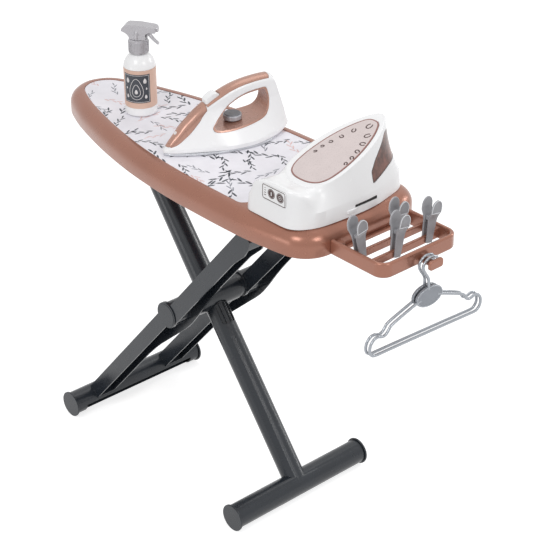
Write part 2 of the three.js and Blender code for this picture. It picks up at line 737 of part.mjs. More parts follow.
// The station's outline at the foot, moved in by the inset
function stationRing(inset) {
  const side = stationSideShares.map(([across, along]) => new THREE.Vector2(
    plateCentre + across * (stationRight - plateCentre), along * stationHalf));
  const right = new THREE.SplineCurve(side).getPoints(26);
  const cornerX = stationLeft + stationCorner;
  const cornerY = stationHalf - stationCorner;
  const corner = (y, from, to) => new THREE.EllipseCurve(cornerX, y, stationCorner, stationCorner, from, to)
    .getPoints(cornerSegments);
  const left = [0.6, 0.3, 0, -0.3, -0.6].map((share) => new THREE.Vector2(stationLeft, share * cornerY));
  const ends = [0.33, 0.67].map((share) => THREE.MathUtils.lerp(side[0].x, cornerX, share));
  const far = ends.map((x) => new THREE.Vector2(x, stationHalf));
  const near = ends.map((x) => new THREE.Vector2(x, -stationHalf)).reverse();
  return insetRing([...right, ...far, ...corner(cornerY, Math.PI / 2, Math.PI), ...left,
    ...corner(-cornerY, Math.PI, 1.5 * Math.PI), ...near], inset);
}

// Sole outline: round at the heel, pointed at the tip, as [across, along] from the heel to the tip
const soleShares = [
  [0, 0], [0.42, 0.012], [0.74, 0.055], [0.93, 0.14], [1, 0.27], [0.99, 0.4], [0.93, 0.53],
  [0.81, 0.66], [0.64, 0.78], [0.43, 0.88], [0.22, 0.96], [0.08, 0.99], [0, 1],
];

function soleRing(centreX, half, heelY, tipY, grow, heightAt) {
  const place = ([across, along], side) => {
    const x = centreX + side * across * half;
    const y = heelY + (tipY - heelY) * along;
    return new THREE.Vector2(x, y);
  };
  const right = soleShares.map((share) => place(share, 1));
  const left = soleShares.slice(1, -1).reverse().map((share) => place(share, -1));
  const ring = [...right, ...left];
  const middle = new THREE.Vector2(centreX, (heelY + tipY) / 2);
  return ring.map((point, i) => {
    const before = ring[(i + ring.length - 1) % ring.length];
    const after = ring[(i + 1) % ring.length];
    const along = after.clone().sub(before).normalize();
    const outward = new THREE.Vector2(along.y, -along.x);
    if (outward.dot(point.clone().sub(middle)) < 0) outward.negate();
    const moved = point.clone().addScaledVector(outward, grow);
    return new THREE.Vector3(moved.x, moved.y, heightAt(moved.x, moved.y));
  });
}

const plateHeight = (y) => stationFloor + plateLowHeight + (y - plateNear) * plateSlope;
const stationMiddle = new THREE.Vector2(plateCentre, -8);

// Where the ray from the station's middle towards a point crosses a closed ring
function crossing(ring, target) {
  const ray = target.clone().sub(stationMiddle).normalize();
  for (let i = 0; i < ring.length; i += 1) {
    const from = ring[i].clone().sub(stationMiddle);
    const to = ring[(i + 1) % ring.length].clone().sub(stationMiddle);
    const before = ray.cross(from);
    const after = ray.cross(to);
    if (before <= 0 && after > 0 && ray.dot(from) > 0) return from.lerp(to, before / (before - after)).add(stationMiddle);
  }
  return target.clone();
}

// How far along the near side the hump stands, and its height there as a share of the full hump
const humpShares = [
  [0, 0.05], [0.05, 0.37], [0.09, 0.6], [0.155, 0.76], [0.245, 0.89], [0.345, 0.96], [0.45, 1], [0.7, 1],
  [0.785, 0.94], [0.865, 0.8], [0.914, 0.55], [0.96, 0.2], [1, 0],
];

// The hump's side as shares: of its height, and of the way in from the foot
const humpSideShares = [[0.6, 0.012], [0.85, 0.022], [0.96, 0.06], [1, 0.15], [1, 0.5]];
const flankShares = [0.2, 0.4, 0.6, 0.78, 0.9];
const flankHollow = 1.3;

// One upright line of the station's skin, from the foot to the rim of the rest plate
function stationLine(foot, ring, rim, wall) {
  const crease = crossing(ring(wall + creaseInset), foot);
  const top = crossing(rim(plateRim - wall), foot);
  const creaseZ = stationFloor + stationCrease - wall;
  const topZ = plateHeight(top.y) - wall;
  const width = stationRight - stationLeft;
  const share = foot.y < 0 ? readTable(humpShares, (foot.x - stationLeft) / width) : 0;
  const humpZ = creaseZ + (stationHump - stationCrease) * share;
  const standing = THREE.MathUtils.smoothstep(share, 0, 0.9);
  const line = [foot.clone(), crease].map((point, i) => new THREE.Vector3(point.x, point.y,
    i ? creaseZ : stationFloor - (wall > 0 ? 1 : 0)));
  humpSideShares.forEach(([height, inward], i) => {
    const flank = flankShares[i];
    const slope = crease.clone().lerp(top, 1 - (1 - flank) ** flankHollow);
    const side = crease.clone().lerp(top, inward);
    const point = slope.lerp(side, standing);
    const slopeZ = THREE.MathUtils.lerp(creaseZ, topZ, flank);
    const sideZ = i === humpSideShares.length - 1 ? (humpZ + topZ) / 2 : creaseZ + (humpZ - creaseZ) * height;
    line.push(new THREE.Vector3(point.x, point.y, THREE.MathUtils.lerp(slopeZ, sideZ, standing)));
  });
  line.push(new THREE.Vector3(top.x, top.y, topZ));
  const lip = crossing(rim(plateRim * 0.6 - wall), foot);
  line.push(new THREE.Vector3(lip.x, lip.y, plateHeight(lip.y) + (wall > 0 ? -wall : 1.4)));
  return line;
}

// The station's body, or with a wall the hollow inside it
function stationForm(wall) {
  const rimRing = (grow) => soleRing(plateCentre, plateHalf, plateNear, plateFar, grow, () => 0)
    .map((point) => new THREE.Vector2(point.x, point.y));
  const lines = stationRing(wall).map((foot) => stationLine(foot, stationRing, rimRing, wall));
  return lofted(lines[0].map((point, level) => lines.map((line) => line[level])));
}

function plateShape(grow) {
  const ring = soleRing(plateCentre + plateShift, plateHalf - plateTrim, 0,
    (plateFar - plateNear) * Math.hypot(1, plateSlope), grow, () => 0);
  return new THREE.Shape(ring.map((point) => new THREE.Vector2(point.x, point.y)));
}

// A flat sheet laid on the station's slanted top
function onSlant(shape, low, high) {
  const geometry = new THREE.ExtrudeGeometry(shape, { depth: high - low, bevelEnabled: false });
  geometry.translate(0, 0, low);
  geometry.rotateX(Math.atan(plateSlope));
  geometry.translate(0, plateNear, plateHeight(plateNear));
  return solidOf(geometry);
}

const panelShape = (grow) => roundedRectangle(panelLeft - grow, panelLeft + panelWidth + grow,
  stationFloor + panelMiddle - panelHeight / 2 - grow, stationFloor + panelMiddle + panelHeight / 2 + grow, 3.5);

const slitFrom = -10.5;
const slitTo = 31.5;
const slitHeight = 12;
const slitHalf = 1.4;
const windowNear = 28;
const windowFar = 125;

// The tank window seen from the side; it wraps round the far end of the tower
function windowShape(grow) {
  const z = (level) => stationFloor + level;
  return outlineShape([
    [windowNear - grow, z(31) - grow], [windowNear + 22, z(36) - grow], [windowNear + 44, z(42) - grow],
    [windowFar, z(48) - grow], [windowFar, z(84) + grow], [windowNear + 45 - grow, z(84) + grow],
    [windowNear + 30 - grow, z(73) + grow], [windowNear + 11 - grow, z(59) + grow], [windowNear - grow, z(47) + grow],
  ]);
}

const windowSweep = (grow) => pushedX(windowShape(grow), stationLeft - 5, stationRight + 5);
const panelFace = -stationHalf + creaseInset;

function stationHousing() {
  const shell = stationForm(0).subtract(stationForm(stationWall));
  const slit = box(stationRight - 9, stationRight + 2, slitFrom, slitTo, stationFloor + slitHeight - slitHalf,
    stationFloor + slitHeight + slitHalf);
  const plateRecess = onSlant(plateShape(seatGap), 0.2, 9);
  const panelRecess = pushed(panelShape(seatGap), panelFace - 4, panelFace + 1.9);
  return cut(shell, slit, plateRecess, panelRecess, windowSweep(seatGap));
}

function tankWindow() {
  const skin = stationForm(0).subtract(stationForm(stationWall - 0.5));
  return skin.intersect(windowSweep(0));
}

function restPlate() {
  return onSlant(plateShape(0), 0.2 + seatGap, 0.2 + seatGap + plateThickness);
}

function controlPanel() {
  return pushed(panelShape(0), panelFace, panelFace + 1.6);
}

function stationBase() {
  return raised(closedShape(stationRing(stationWall + 2 * seatGap)), stationFloor + seatGap, stationFloor + 3);
}

// Iron, in its own frame: the tip of the sole at the origin, +Y towards the heel, +Z up from the board
const ironTops = [
  [0, 8], [2, 11], [5, 14], [12, 22], [20, 30.5], [30, 41.5], [40, 49.8], [52, 59.4], [63, 66.4], [74, 72.4],
  [85, 77.8], [102, 84.8], [119, 89.5], [140, 92.5], [161, 93.5], [172, 92.5], [177, 88], [184, 68], [192, 44],
  [199, 22], [203, 12],
];
const ironHalfWidths = [
  [0, 1.5], [4, 6.5], [12, 12], [24, 18], [48, 27], [70, 35], [93, 41], [112, 42.5], [131, 41.5], [150, 36.5],
  [165, 30], [180, 22.5], [192, 15], [200, 8], [203, 4],
];
const ironRidgeHalves = [
  [0, 1.4], [5, 5.5], [20, 9.2], [40, 10.5], [63, 11.5], [90, 13.5], [176, 13.5], [192, 12], [200, 7], [203, 3.5],
];
const ironBottoms = [[0, 3.8], [172, 3.8], [186, 5.2], [200, 8], [203, 9]];
const ironStations = [
  0, 2.5, 6, 12, 20, 30, 42, 54, 66, 80, 95, 112, 131, 150, 165, 173, 178, 184, 192, 199, 203,
];
const openingProfile = [
  [71, 35.2], [73.2, 30.8], [82.1, 29.1], [101.2, 29.2], [122.2, 31], [145, 34.2], [156.3, 38.3], [162.7, 47.2],
  [164.6, 59.4], [161.8, 71.7], [158.1, 76], [149.4, 75.9], [130.9, 74], [114.5, 69.2], [97.8, 60.2], [83.5, 49.1],
  [74.8, 40.4],
];
const ridgeRounding = 9;
const flankFoot = 10;
const flankTop = 62;
const flankBend = 1.25;
const flankSteps = 5;
const crownSteps = 3;
const crownMargin = 8;

// A value read between the entries of a table of [place, value]
function readTable(table, place) {
  const next = table.findIndex(([at]) => at >= place);
  if (next <= 0) return table[Math.max(next, 0)][1];
  const [[from, low], [to, high]] = [table[next - 1], table[next]];
  return THREE.MathUtils.mapLinear(place, from, to, low, high);
}

// One section across the iron: upright sides, hollow flanks and a rounded ridge
function ironSection(along, grow) {
  const top = readTable(ironTops, along) + grow;
  const half = readTable(ironHalfWidths, along) + grow;
  const ridge = Math.min(readTable(ironRidgeHalves, along) + grow, half);
  const bottom = readTable(ironBottoms, along) - grow;
  const height = top - bottom;
  const rounding = Math.min(ridgeRounding, height * 0.4);
  const flankEnd = Math.min(top - rounding - 0.5, flankTop);
  const foot = Math.min(flankFoot, bottom + height * 0.4);
  const side = [[half - 0.6, bottom], [half, bottom + Math.min(1, height * 0.1)]];
  for (let step = 0; step <= flankSteps; step += 1) {
    const rise = step / flankSteps;
    side.push([ridge + (half - ridge) * (1 - rise) ** flankBend, foot + (flankEnd - foot) * rise]);
  }
  for (let step = 0; step < crownSteps; step += 1) {
    const turn = (step / crownSteps) * Math.PI / 2;
    side.push([ridge * Math.cos(turn), top - rounding + rounding * Math.sin(turn)]);
  }
  const left = side.slice().reverse().map(([x, z]) => [-x, z]);
  return [...side, [0, top], ...left].map(([x, z]) => new THREE.Vector3(x, along, z));
}

const ironBodySolid = () => lofted(ironStations.map((along) => ironSection(along, 0)));
const ironHollow = () => lofted(ironStations.slice(3, -4).map((along) => ironSection(along, -ironShellWall)));
const alongY = (shape, half) => pushedX(shape, -half, half);

// A closed outline through the points, smoothed between them
function splineOutline(points) {
  const curve = new THREE.CatmullRomCurve3(points.map(([a, b]) => new THREE.Vector3(a, b, 0)), true, 'catmullrom', 0.4);
  const ring = curve.getPoints(points.length * 2).slice(0, -1);
  return new THREE.Shape(ring.map((point) => new THREE.Vector2(point.x, point.y)));
}

// The same outline with every side moved in by the inset
function insetOutline(points, inset) {
  const bounds = new THREE.Box2().setFromPoints(points.map(([a, b]) => new THREE.Vector2(a, b)));
  const middle = bounds.getCenter(new THREE.Vector2());
  const size = bounds.getSize(new THREE.Vector2());
  const scale = [(size.x - 2 * inset) / size.x, (size.y - 2 * inset) / size.y];
  return splineOutline(points.map(([a, b]) => [middle.x + (a - middle.x) * scale[0], middle.y + (b - middle.y) * scale[1]]));
}

// The region under the iron's ridge, moved in by the depth
function underSkin(depth) {
  const crown = ironTops.slice(0, crownCount);
  const points = crown.map(([along, height], i) => {
    const [fromA, fromZ] = crown[Math.max(i - 1, 0)];
    const [toA, toZ] = crown[Math.min(i + 1, crown.length - 1)];
    const tangent = new THREE.Vector2(toA - fromA, toZ - fromZ).normalize();
    return [along + tangent.y * depth, height - tangent.x * depth];
  });
  const [first, last] = [points[0], points.at(-1)];
  return outlineShape([...points, [last[0] + crownMargin, last[1]], [last[0] + crownMargin, -crownMargin],
    [first[0] - crownMargin, -crownMargin], [first[0] - crownMargin, first[1]]]);
}

const crownCount = 16;
const handleCover = { from: 66.2, to: 169, half: 14.5, corner: 9 };
const handleCoverDepth = 4.6;
const frontCoverDepth = 7;
const frontCoverEnd = 65.9;
const frontCoverSide = [[0, 4], [3, 5.5], [5.6, 9], [8, 15], [10, 23], [11.6, 33]];

// Plan outlines of the two covers, and the bands of the iron's upper skin inside them
function frontCoverPlan(grow) {
  const side = frontCoverSide.map(([x, along], i) => [i ? x + grow : 0, along - grow]);
  side.push([side.at(-1)[0], frontCoverEnd + grow]);
  const other = side.slice(1).reverse().map(([x, along]) => [-x, along]);
  return outlineShape([...side, ...other]);
}

function handleCoverPlan(grow) {
  const { from, to, half, corner } = handleCover;
  return roundedRectangle(-half - grow, half + grow, from - grow, to + grow, corner + grow);
}

function skinBand(plan, depth) {
  return raised(plan, 4, 110).subtract(alongY(underSkin(depth), 60));
}

const linerWall = 2.4;
const buttonHalf = 7.6;
const buttonRange = [66.5, 90];
const buttonSide = [
  [66.5, 64], [66.8, 73.2], [70, 76.5], [75, 80], [79, 82.2], [82, 82.4], [85.5, 80.8], [90, 77.6], [90, 68],
];

function steamButton(grow) {
  const plan = roundedRectangle(-buttonHalf - grow, buttonHalf + grow, buttonRange[0] - grow, buttonRange[1] + grow,
    3.5 + grow);
  if (grow > 0) return raised(plan, 60, 110).subtract(alongY(underSkin(buttonWell), 60));
  const side = alongY(outlineShape(buttonSide), 60).subtract(alongY(underSkin(buttonDepth), 60));
  return raised(plan, 60, 110).intersect(side);
}

const buttonDepth = 4;
const buttonWell = 8.5;
const nozzleRadius = 3.2;
const nozzleLength = 5;
const dialShaftRadius = 4;

function ironParts() {
  const whole = ironBodySolid();
  const opening = alongY(insetOutline(openingProfile, -linerWall / 2), 60);
  const innerOpening = alongY(insetOutline(openingProfile, linerWall / 2), 61);
  const shaftBore = barZ(dialShaftRadius + seatGap, 18, 40, 0, dialSeat, 20);
  const liner = cut(whole.intersect(opening), innerOpening, shaftBore);
  const openingGrown = alongY(insetOutline(openingProfile, -linerWall / 2 - seatGap), 60);
  const buttonRoom = steamButton(seatGap);
  const nozzleSeat = barNozzle(nozzleRadius + seatGap, nozzleLength * 2);
  const frontBand = (grow) => skinBand(frontCoverPlan(grow), frontCoverDepth + grow);
  const handleBand = (grow) => skinBand(handleCoverPlan(grow), handleCoverDepth + grow);
  const body = cut(whole, openingGrown, frontBand(seatGap), handleBand(seatGap), buttonRoom, soleKey(seatGap),
    ironHollow().intersect(box(-60, 60, 12, 178, -1, 21)), barZ(dialShaftRadius + 2, 10, 40, 0, dialSeat, 20));
  const split = flushGap / 2;
  return {
    nearHalf: body.intersect(box(split, 70, -10, 220, -5, 120)),
    farHalf: body.intersect(box(-70, -split, -10, 220, -5, 120)),
    liner,
    frontCover: frontBand(0).intersect(whole).subtract(nozzleSeat),
    handleCover: handleBand(0).intersect(whole).subtract(buttonRoom),
    button: steamButton(0),
    nozzle: barNozzle(nozzleRadius, nozzleLength),
    dial: ironDial(),
    sole: ironSole(),
  };
}

// The spray nozzle stands square to the front cover's slope
const nozzlePlace = [20.4, 29.6];

function barNozzle(radius, length) {
  const geometry = new THREE.CylinderGeometry(radius, radius, length, 20);
  geometry.rotateX(-Math.PI / 4);
  geometry.translate(0, ...nozzlePlace);
  return solidOf(geometry);
}

const dialFoot = 33;
const dialHeight = 6.6;

function ironDial() {
  const rim = dialRadius;
  const grip = turned([[0, 0], [rim - 1, 0], [rim, 1], [rim, dialHeight - 2], [rim - 0.8, dialHeight - 1],
    [rim - 1.6, dialHeight - 1], [rim - 2, dialHeight], [0, dialHeight]], 24);
  const shaft = barZ(dialShaftRadius, -8, 1, 0, 0, 20);
  return grip.add(shaft).translate([0, dialSeat, dialFoot]);
}

const keyHalf = 4;
const keyRange = [30, 130];
const keyTop = 14;

// The key that locks the sole between the two halves of the body
function soleKey(grow) {
  return box(-keyHalf - grow, keyHalf + grow, keyRange[0] - grow, keyRange[1] + grow, soleThickness - 0.5, keyTop + grow);
}

function ironSole() {
  const ring = soleRing(0, soleHalf, soleLength, 0.5, 0, () => 0);
  const plate = raised(new THREE.Shape(ring.map((p) => new THREE.Vector2(p.x, p.y))), 0, soleThickness,
    { width: 1, drop: 1, steps: 2 });
  return plate.add(soleKey(0));
}

// Spray bottle, in its own frame: its base centre at the origin
function bottleBody() {
  return turned([[0, 0], [bottleRadius - 4, 0], [bottleRadius - 1, 1.4], [bottleRadius, 4.5], [bottleRadius, 13.6],
    [bottleRadius - 0.9, 14], [bottleRadius - 0.9, 70.4], [bottleRadius, 70.8], [bottleRadius - 0.5, 77],
    [bottleRadius - 2.6, 84], [bottleRadius - 6.2, 90], [bottleRadius - 10.6, 94.6], [11, 95.4], [11, 110], [8, 110],
    [8, 93], [bottleRadius - 9, 88], [bottleRadius - 3, 79], [bottleRadius - 3, 4], [0, 3]], 24);
}

function bottleWrap() {
  const inner = bottleRadius - 0.9 + flushGap;
  return turned([[inner, 14.3], [bottleRadius - 0.1, 14.3], [bottleRadius - 0.1, 70.1], [inner, 70.1],
    [inner, 14.3]], 30);
}

function bottleCollar() {
  const outer = 15.5;
  const ridges = 28;
  const ring = [];
  for (let i = 0; i < ridges; i += 1) {
    const turn = (i / ridges) * 2 * Math.PI;
    const radius = i % 2 ? outer : outer - 0.5;
    ring.push([radius * Math.cos(turn), radius * Math.sin(turn)]);
  }
  const skirt = raised(outlineShape(ring), 97, 115.4);
  const shoulder = barZ(14, 115, 118, 0, 0, 24);
  return cut(skirt.add(shoulder), barZ(11.3, 90, 111, 0, 0, 20), barZ(6.4, 100, 124, 0, 0, 24));
}

const headHalf = 9.5;
const triggerPivot = [16, 128.4];

function sprayHead() {
  const outline = new THREE.Shape();
  outline.moveTo(-12.5, 118.3);
  outline.lineTo(-11.5, 121);
  outline.quadraticCurveTo(-13.5, 127, -23, 130);
  outline.quadraticCurveTo(-24.4, 132, -22.6, 134.4);
  outline.quadraticCurveTo(-19, 139.6, -14.5, 140.6);
  outline.lineTo(2, 141.2);
  outline.lineTo(24, 139.2);
  outline.quadraticCurveTo(29, 138.6, 29.6, 134.5);
  outline.lineTo(28.6, 130.4);
  outline.lineTo(19, 130.6);
  outline.quadraticCurveTo(13.6, 129, 11.8, 123);
  outline.lineTo(12.5, 118.3);
  outline.closePath();
  const slab = pushed(outline, -headHalf, headHalf, 5);
  const section = raised(roundedRectangle(-40, 40, -headHalf, headHalf, 6), 126, 150);
  const waist = raised(new THREE.Shape(new THREE.EllipseCurve(0, 0, 12.6, headHalf + 2).getPoints(20)), 118.3, 126);
  const nozzle = barX(4.6, 27, 31.4, 0, 134.6, 20);
  const trimmed = slab.intersect(section.add(box(-30, 30, -headHalf, headHalf, 110, 127)));
  const slot = box(7, 26, -3.4, 3.4, 120, 132.6);
  const stem = barZ(6, 106, 119, 0, 0, 20);
  return cut(joined(trimmed, waist, nozzle, stem), slot);
}

function sprayTrigger() {
  const [x, z] = triggerPivot;
  const shape = new THREE.Shape();
  shape.moveTo(x - 3, z - 1);
  shape.absarc(x, z, 3, Math.PI, 0, true);
  shape.quadraticCurveTo(x + 6, z - 7, x + 15.5, z - 14.6);
  shape.quadraticCurveTo(x + 17.4, z - 17, x + 14.4, z - 18);
  shape.quadraticCurveTo(x + 4, z - 11, x - 3, z - 1);
  shape.closePath();
  return pushed(shape, -2.9, 2.9, 5);
}

// Clothes peg, in its own frame: the middle of the top of the slat it grips at the origin
const pegHalf = 5.8;
const pegDepth = 10.5;
const pegTop = 53;
const paddleHalf = 9.2;
const paddleRise = 40;
const slatHalf = slatThickness / 2;
const bridgeRange = [21.5, 26.5];

// One arm of the peg from the side: the jaw, the waist at the bridge and the bent paddle
function pegArm(side) {
  const jaw = slatHalf + seatGap;
  const profile = [
    [jaw, -pegDepth], [jaw + 2.6, -pegDepth], [jaw + 3, 8], [jaw + 2.7, 18], [jaw + 3.2, 25], [jaw + 6.8, 36],
    [jaw + 7.2, pegTop], [jaw + 4.9, pegTop], [jaw + 4.3, 36], [jaw + 0.5, 26], [jaw, 18],
  ];
  return pushed(outlineShape(profile.map(([x, z]) => [side * x, z])), -paddleHalf - 1, paddleHalf + 1);
}

// The peg from the front: straight legs and a rounded paddle
function pegFront() {
  const shape = new THREE.Shape();
  shape.moveTo(-pegHalf, -pegDepth);
  shape.lineTo(pegHalf, -pegDepth);
  shape.lineTo(pegHalf - 0.4, bridgeRange[0]);
  shape.quadraticCurveTo(pegHalf + 0.6, bridgeRange[1] + 2, paddleHalf - 0.6, paddleRise - 6);
  shape.quadraticCurveTo(paddleHalf, paddleRise - 3, paddleHalf, paddleRise);
  shape.absellipse(0, paddleRise, paddleHalf, pegTop - paddleRise, 0, Math.PI);
  shape.quadraticCurveTo(-paddleHalf, paddleRise - 3, -paddleHalf + 0.6, paddleRise - 6);
  shape.quadraticCurveTo(-pegHalf - 0.6, bridgeRange[1] + 2, -pegHalf + 0.4, bridgeRange[0]);
  shape.closePath();
  return shape;
}

function clothesPeg() {
  const reach = slatHalf + seatGap + 9;
  const bridge = box(-slatHalf - 1, slatHalf + 1, -pegHalf, pegHalf, ...bridgeRange);
  return joined(pegArm(-1), bridge, pegArm(1)).intersect(pushedX(pegFront(), -reach, reach, 5));
}

// Hanger, in its own frame: the knob's axis at the origin, Y across and Z up
const hangerTilt = THREE.MathUtils.degToRad(-2.7);
const hangerBadge = [0.5, -50.5];
const badgeHalves = [24.5, 15];

// Right half of the hanger's frame, seen from its badge
const hangerHalfRoute = [
  [16, -2], [26, -5], [56, -15.5], [69, -21], [72.8, -25.2], [76.8, -30], [82, -32.2], [87.6, -31.2], [92.8, -29.7],
  [99.5, -31.2], [105, -37.2], [106.6, -44.4], [104.9, -51.2], [99.9, -55.5], [92.6, -56.4],
];

// The hook's middle line, from its open end over the knob and down to the badge
const hookRoute = [
  [14, -3], [13, 2], [9.7, 5.9], [1, 7.6], [-6.5, 5.7], [-11.6, 1.4], [-13, -2.3], [-12.2, -6.9], [-9.2, -12.4],
  [-5.1, -18.3], [-2.1, -23.8], [-1.3, -28.4], [-1.4, -40],
];

function hangerRoute() {
  const right = hangerHalfRoute;
  const left = right.map(([y, z]) => [-y, z]).reverse();
  const loop = [...right, [40, -56], [-40, -56], ...left];
  return loop.map(([y, z]) => {
    const turned = new THREE.Vector2(y, z).rotateAround(new THREE.Vector2(0, 0), hangerTilt);
    return [turned.x + hangerBadge[0], turned.y + hangerBadge[1]];
  });
}

// A ribbon of constant width along a route
function openRibbon(route, width) {
  const curve = new THREE.CatmullRomCurve3(route.map(([y, z]) => new THREE.Vector3(y, z, 0)), false, 'catmullrom', 0.5);
  const count = Math.round(route.length * 1.4);
  const points = curve.getPoints(count);
  const side = (sign) => points.map((point, i) => {
    const tangent = curve.getTangent(i / count);
    return new THREE.Vector2(point.x - sign * tangent.y * width / 2, point.y + sign * tangent.x * width / 2);
  });
  return new THREE.Shape([...side(-1), ...side(1).reverse()]);
}

function hanger() {
  const frame = openRibbon(hangerRoute(), hangerThickness);
  const hook = openRibbon(hookRoute, hangerThickness);
  const badge = new THREE.Shape(new THREE.EllipseCurve(...hangerBadge, ...badgeHalves, 0, 2 * Math.PI, false,
    hangerTilt).getPoints(22));
  const half = hangerThickness / 2;
  return joined(
    pushedX(frame, -half, half), pushedX(hook, -half, half), pushedX(badge, -half + 0.5, half - 0.5),
  );
}

// Assembly
const toy = new THREE.Group();

const board = new THREE.Group();
board.add(
  piece('board_shell', boardShell(), finish.roseGold),
  piece('printed_ironing_surface', printedSurface(), finish.print),
  piece('peg_rack', pegRack(), finish.roseGold),
  piece('rack_screw_near', rackScrew(rackScrewPlaces[0]), finish.steel),
  piece('rack_screw_far', rackScrew(rackScrewPlaces[1]), finish.steel),
  piece('inner_leg_bracket', innerLegBracket(), finish.anthracite),
  piece('inner_leg_hinge_pin', innerLegPin(), finish.steel),
  piece('leg_catch_near', legCatch(-1), finish.anthracite),
  piece('leg_catch_far', legCatch(1), finish.anthracite),
);

const innerLeg = new THREE.Group();
innerLeg.position.set(pivotAcross, 0, pivotHeight);
innerLeg.rotation.y = innerLegAngle;
innerLeg.add(
  piece('inner_leg_upper', innerLegUpper(), finish.anthracite),
  piece('inner_leg_lower', innerLegLower(), finish.anthracite),
  piece('inner_foot_cap_near', footCap(footReachInner, -1), finish.anthracite),
  piece('inner_foot_cap_far', footCap(footReachInner, 1), finish.anthracite),
);

const outerLeg = new THREE.Group();
outerLeg.position.copy(innerLeg.position);
outerLeg.rotation.y = -armAngle;
outerLeg.add(
  piece('outer_leg_lower_frame', outerLegLowerFrame(), finish.anthracite),
  piece('outer_leg_upper_rail_near', outerLegUpperRail(-1), finish.anthracite),
  piece('outer_leg_upper_rail_far', outerLegUpperRail(1), finish.anthracite),
  piece('outer_leg_top_bar', outerLegTopBar(), finish.steel),
  piece('outer_foot_cap_near', footCap(-footReachOuter, -1), finish.anthracite),
  piece('outer_foot_cap_far', footCap(-footReachOuter, 1), finish.anthracite),
  piece('leg_pivot_axle', pivotAxle(), finish.steel),
);

const station = new THREE.Group();
station.add(
  piece('station_housing', stationHousing(), finish.white),
  piece('station_base_plate', stationBase(), finish.white),
  piece('station_rest_plate', restPlate(), finish.blush),
  piece('station_control_panel', controlPanel(), finish.white),
  piece('station_tank_window', tankWindow(), finish.smoke),
);

const iron = new THREE.Group();
iron.position.set(ironNose[0], ironNose[1], boardTop + seatGap);
iron.rotation.z = ironTurn;
const ironSet = ironParts();
iron.add(
  piece('iron_body_near', ironSet.nearHalf, finish.white),
  piece('iron_body_far', ironSet.farHalf, finish.white),
  piece('iron_soleplate', ironSet.sole, finish.silver),
  piece('iron_handle_liner', ironSet.liner, finish.roseGold),
  piece('iron_handle_cover', ironSet.handleCover, finish.roseGold),
  piece('iron_front_cover', ironSet.frontCover, finish.roseGold),
  piece('iron_dial', ironSet.dial, finish.slate),
  piece('iron_steam_button', ironSet.button, finish.white),
  piece('iron_spray_nozzle', ironSet.nozzle, finish.white),
);

const bottle = new THREE.Group();
bottle.position.set(bottleCentre[0], bottleCentre[1], boardTop + seatGap);
bottle.rotation.z = bottleTurn;
bottle.add(
  piece('bottle_body', bottleBody(), finish.white),
  piece('bottle_label_wrap', bottleWrap(), finish.wrap),
  piece('bottle_collar', bottleCollar(), finish.head),
  piece('bottle_spray_head', sprayHead(), finish.head),
  piece('bottle_trigger', sprayTrigger(), finish.head),
);

const pegs = new THREE.Group();
pegPlaces.forEach(({ slat, along, lean }, i) => {
  const peg = piece(`clothes_peg_${i + 1}`, clothesPeg(), finish.slate);
  peg.position.set(slatCentres[slat], along, slatTop);
  peg.rotation.x = THREE.MathUtils.degToRad(lean);
  pegs.add(peg);
});

const hangers = new THREE.Group();
hangerPlaces.forEach((place, i) => {
  const mesh = piece(i ? 'hanger_back' : 'hanger_front', hanger(), finish.silver);
  mesh.position.set(place, knobAcross, knobHeight);
  hangers.add(mesh);
});

toy.add(board, innerLeg, outerLeg, station, iron, bottle, pegs, hangers);

// The origin lies under the middle of the whole toy
const extent = new THREE.Box3().setFromObject(toy, true);
toy.position.x = -(extent.min.x + extent.max.x) / 2;

export default toy;
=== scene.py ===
import json
import math
from bisect import bisect_right
from contextlib import contextmanager
from functools import cache

import bmesh
import bpy
import numpy as np
from bpy.props import FloatProperty, FloatVectorProperty, IntProperty, PointerProperty
from mathutils import Matrix, Vector


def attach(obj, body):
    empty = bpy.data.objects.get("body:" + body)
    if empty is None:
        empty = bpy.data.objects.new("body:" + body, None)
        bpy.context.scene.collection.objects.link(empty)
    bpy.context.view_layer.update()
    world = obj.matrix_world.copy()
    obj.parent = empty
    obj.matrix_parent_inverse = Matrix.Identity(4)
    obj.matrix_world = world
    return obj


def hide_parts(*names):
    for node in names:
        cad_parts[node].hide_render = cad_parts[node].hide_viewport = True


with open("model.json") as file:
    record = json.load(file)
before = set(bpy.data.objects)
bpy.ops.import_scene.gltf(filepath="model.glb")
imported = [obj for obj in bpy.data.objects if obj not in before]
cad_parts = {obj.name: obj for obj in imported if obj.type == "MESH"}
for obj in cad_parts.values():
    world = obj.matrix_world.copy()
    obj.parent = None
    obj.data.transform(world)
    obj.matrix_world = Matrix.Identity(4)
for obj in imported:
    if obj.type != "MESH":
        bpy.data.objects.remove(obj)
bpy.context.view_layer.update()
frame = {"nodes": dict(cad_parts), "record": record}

bl_info = {
    "name": "Toy ironing board",
    "version": (1, 0, 0),
    "blender": (4, 5, 0),
    "location": "View3D > Sidebar > Ironing board",
    "description": "Dresses a toy ironing board, its iron, steam station, spray bottle, pegs and hangers",
    "category": "Add Mesh",
}

# Sizes in tables and shapes are in millimetres: X runs to the peg rack, Y to the far side and Z up

MM = 0.001


def linear(red, green, blue):
    """A screen colour, given from 0 to 255, as linear light."""
    shares = [value / 255 for value in (red, green, blue)]
    return tuple(s / 12.92 if s <= 0.04045 else ((s + 0.055) / 1.055) ** 2.4 for s in shares)


# Sizes and colours that a user would change

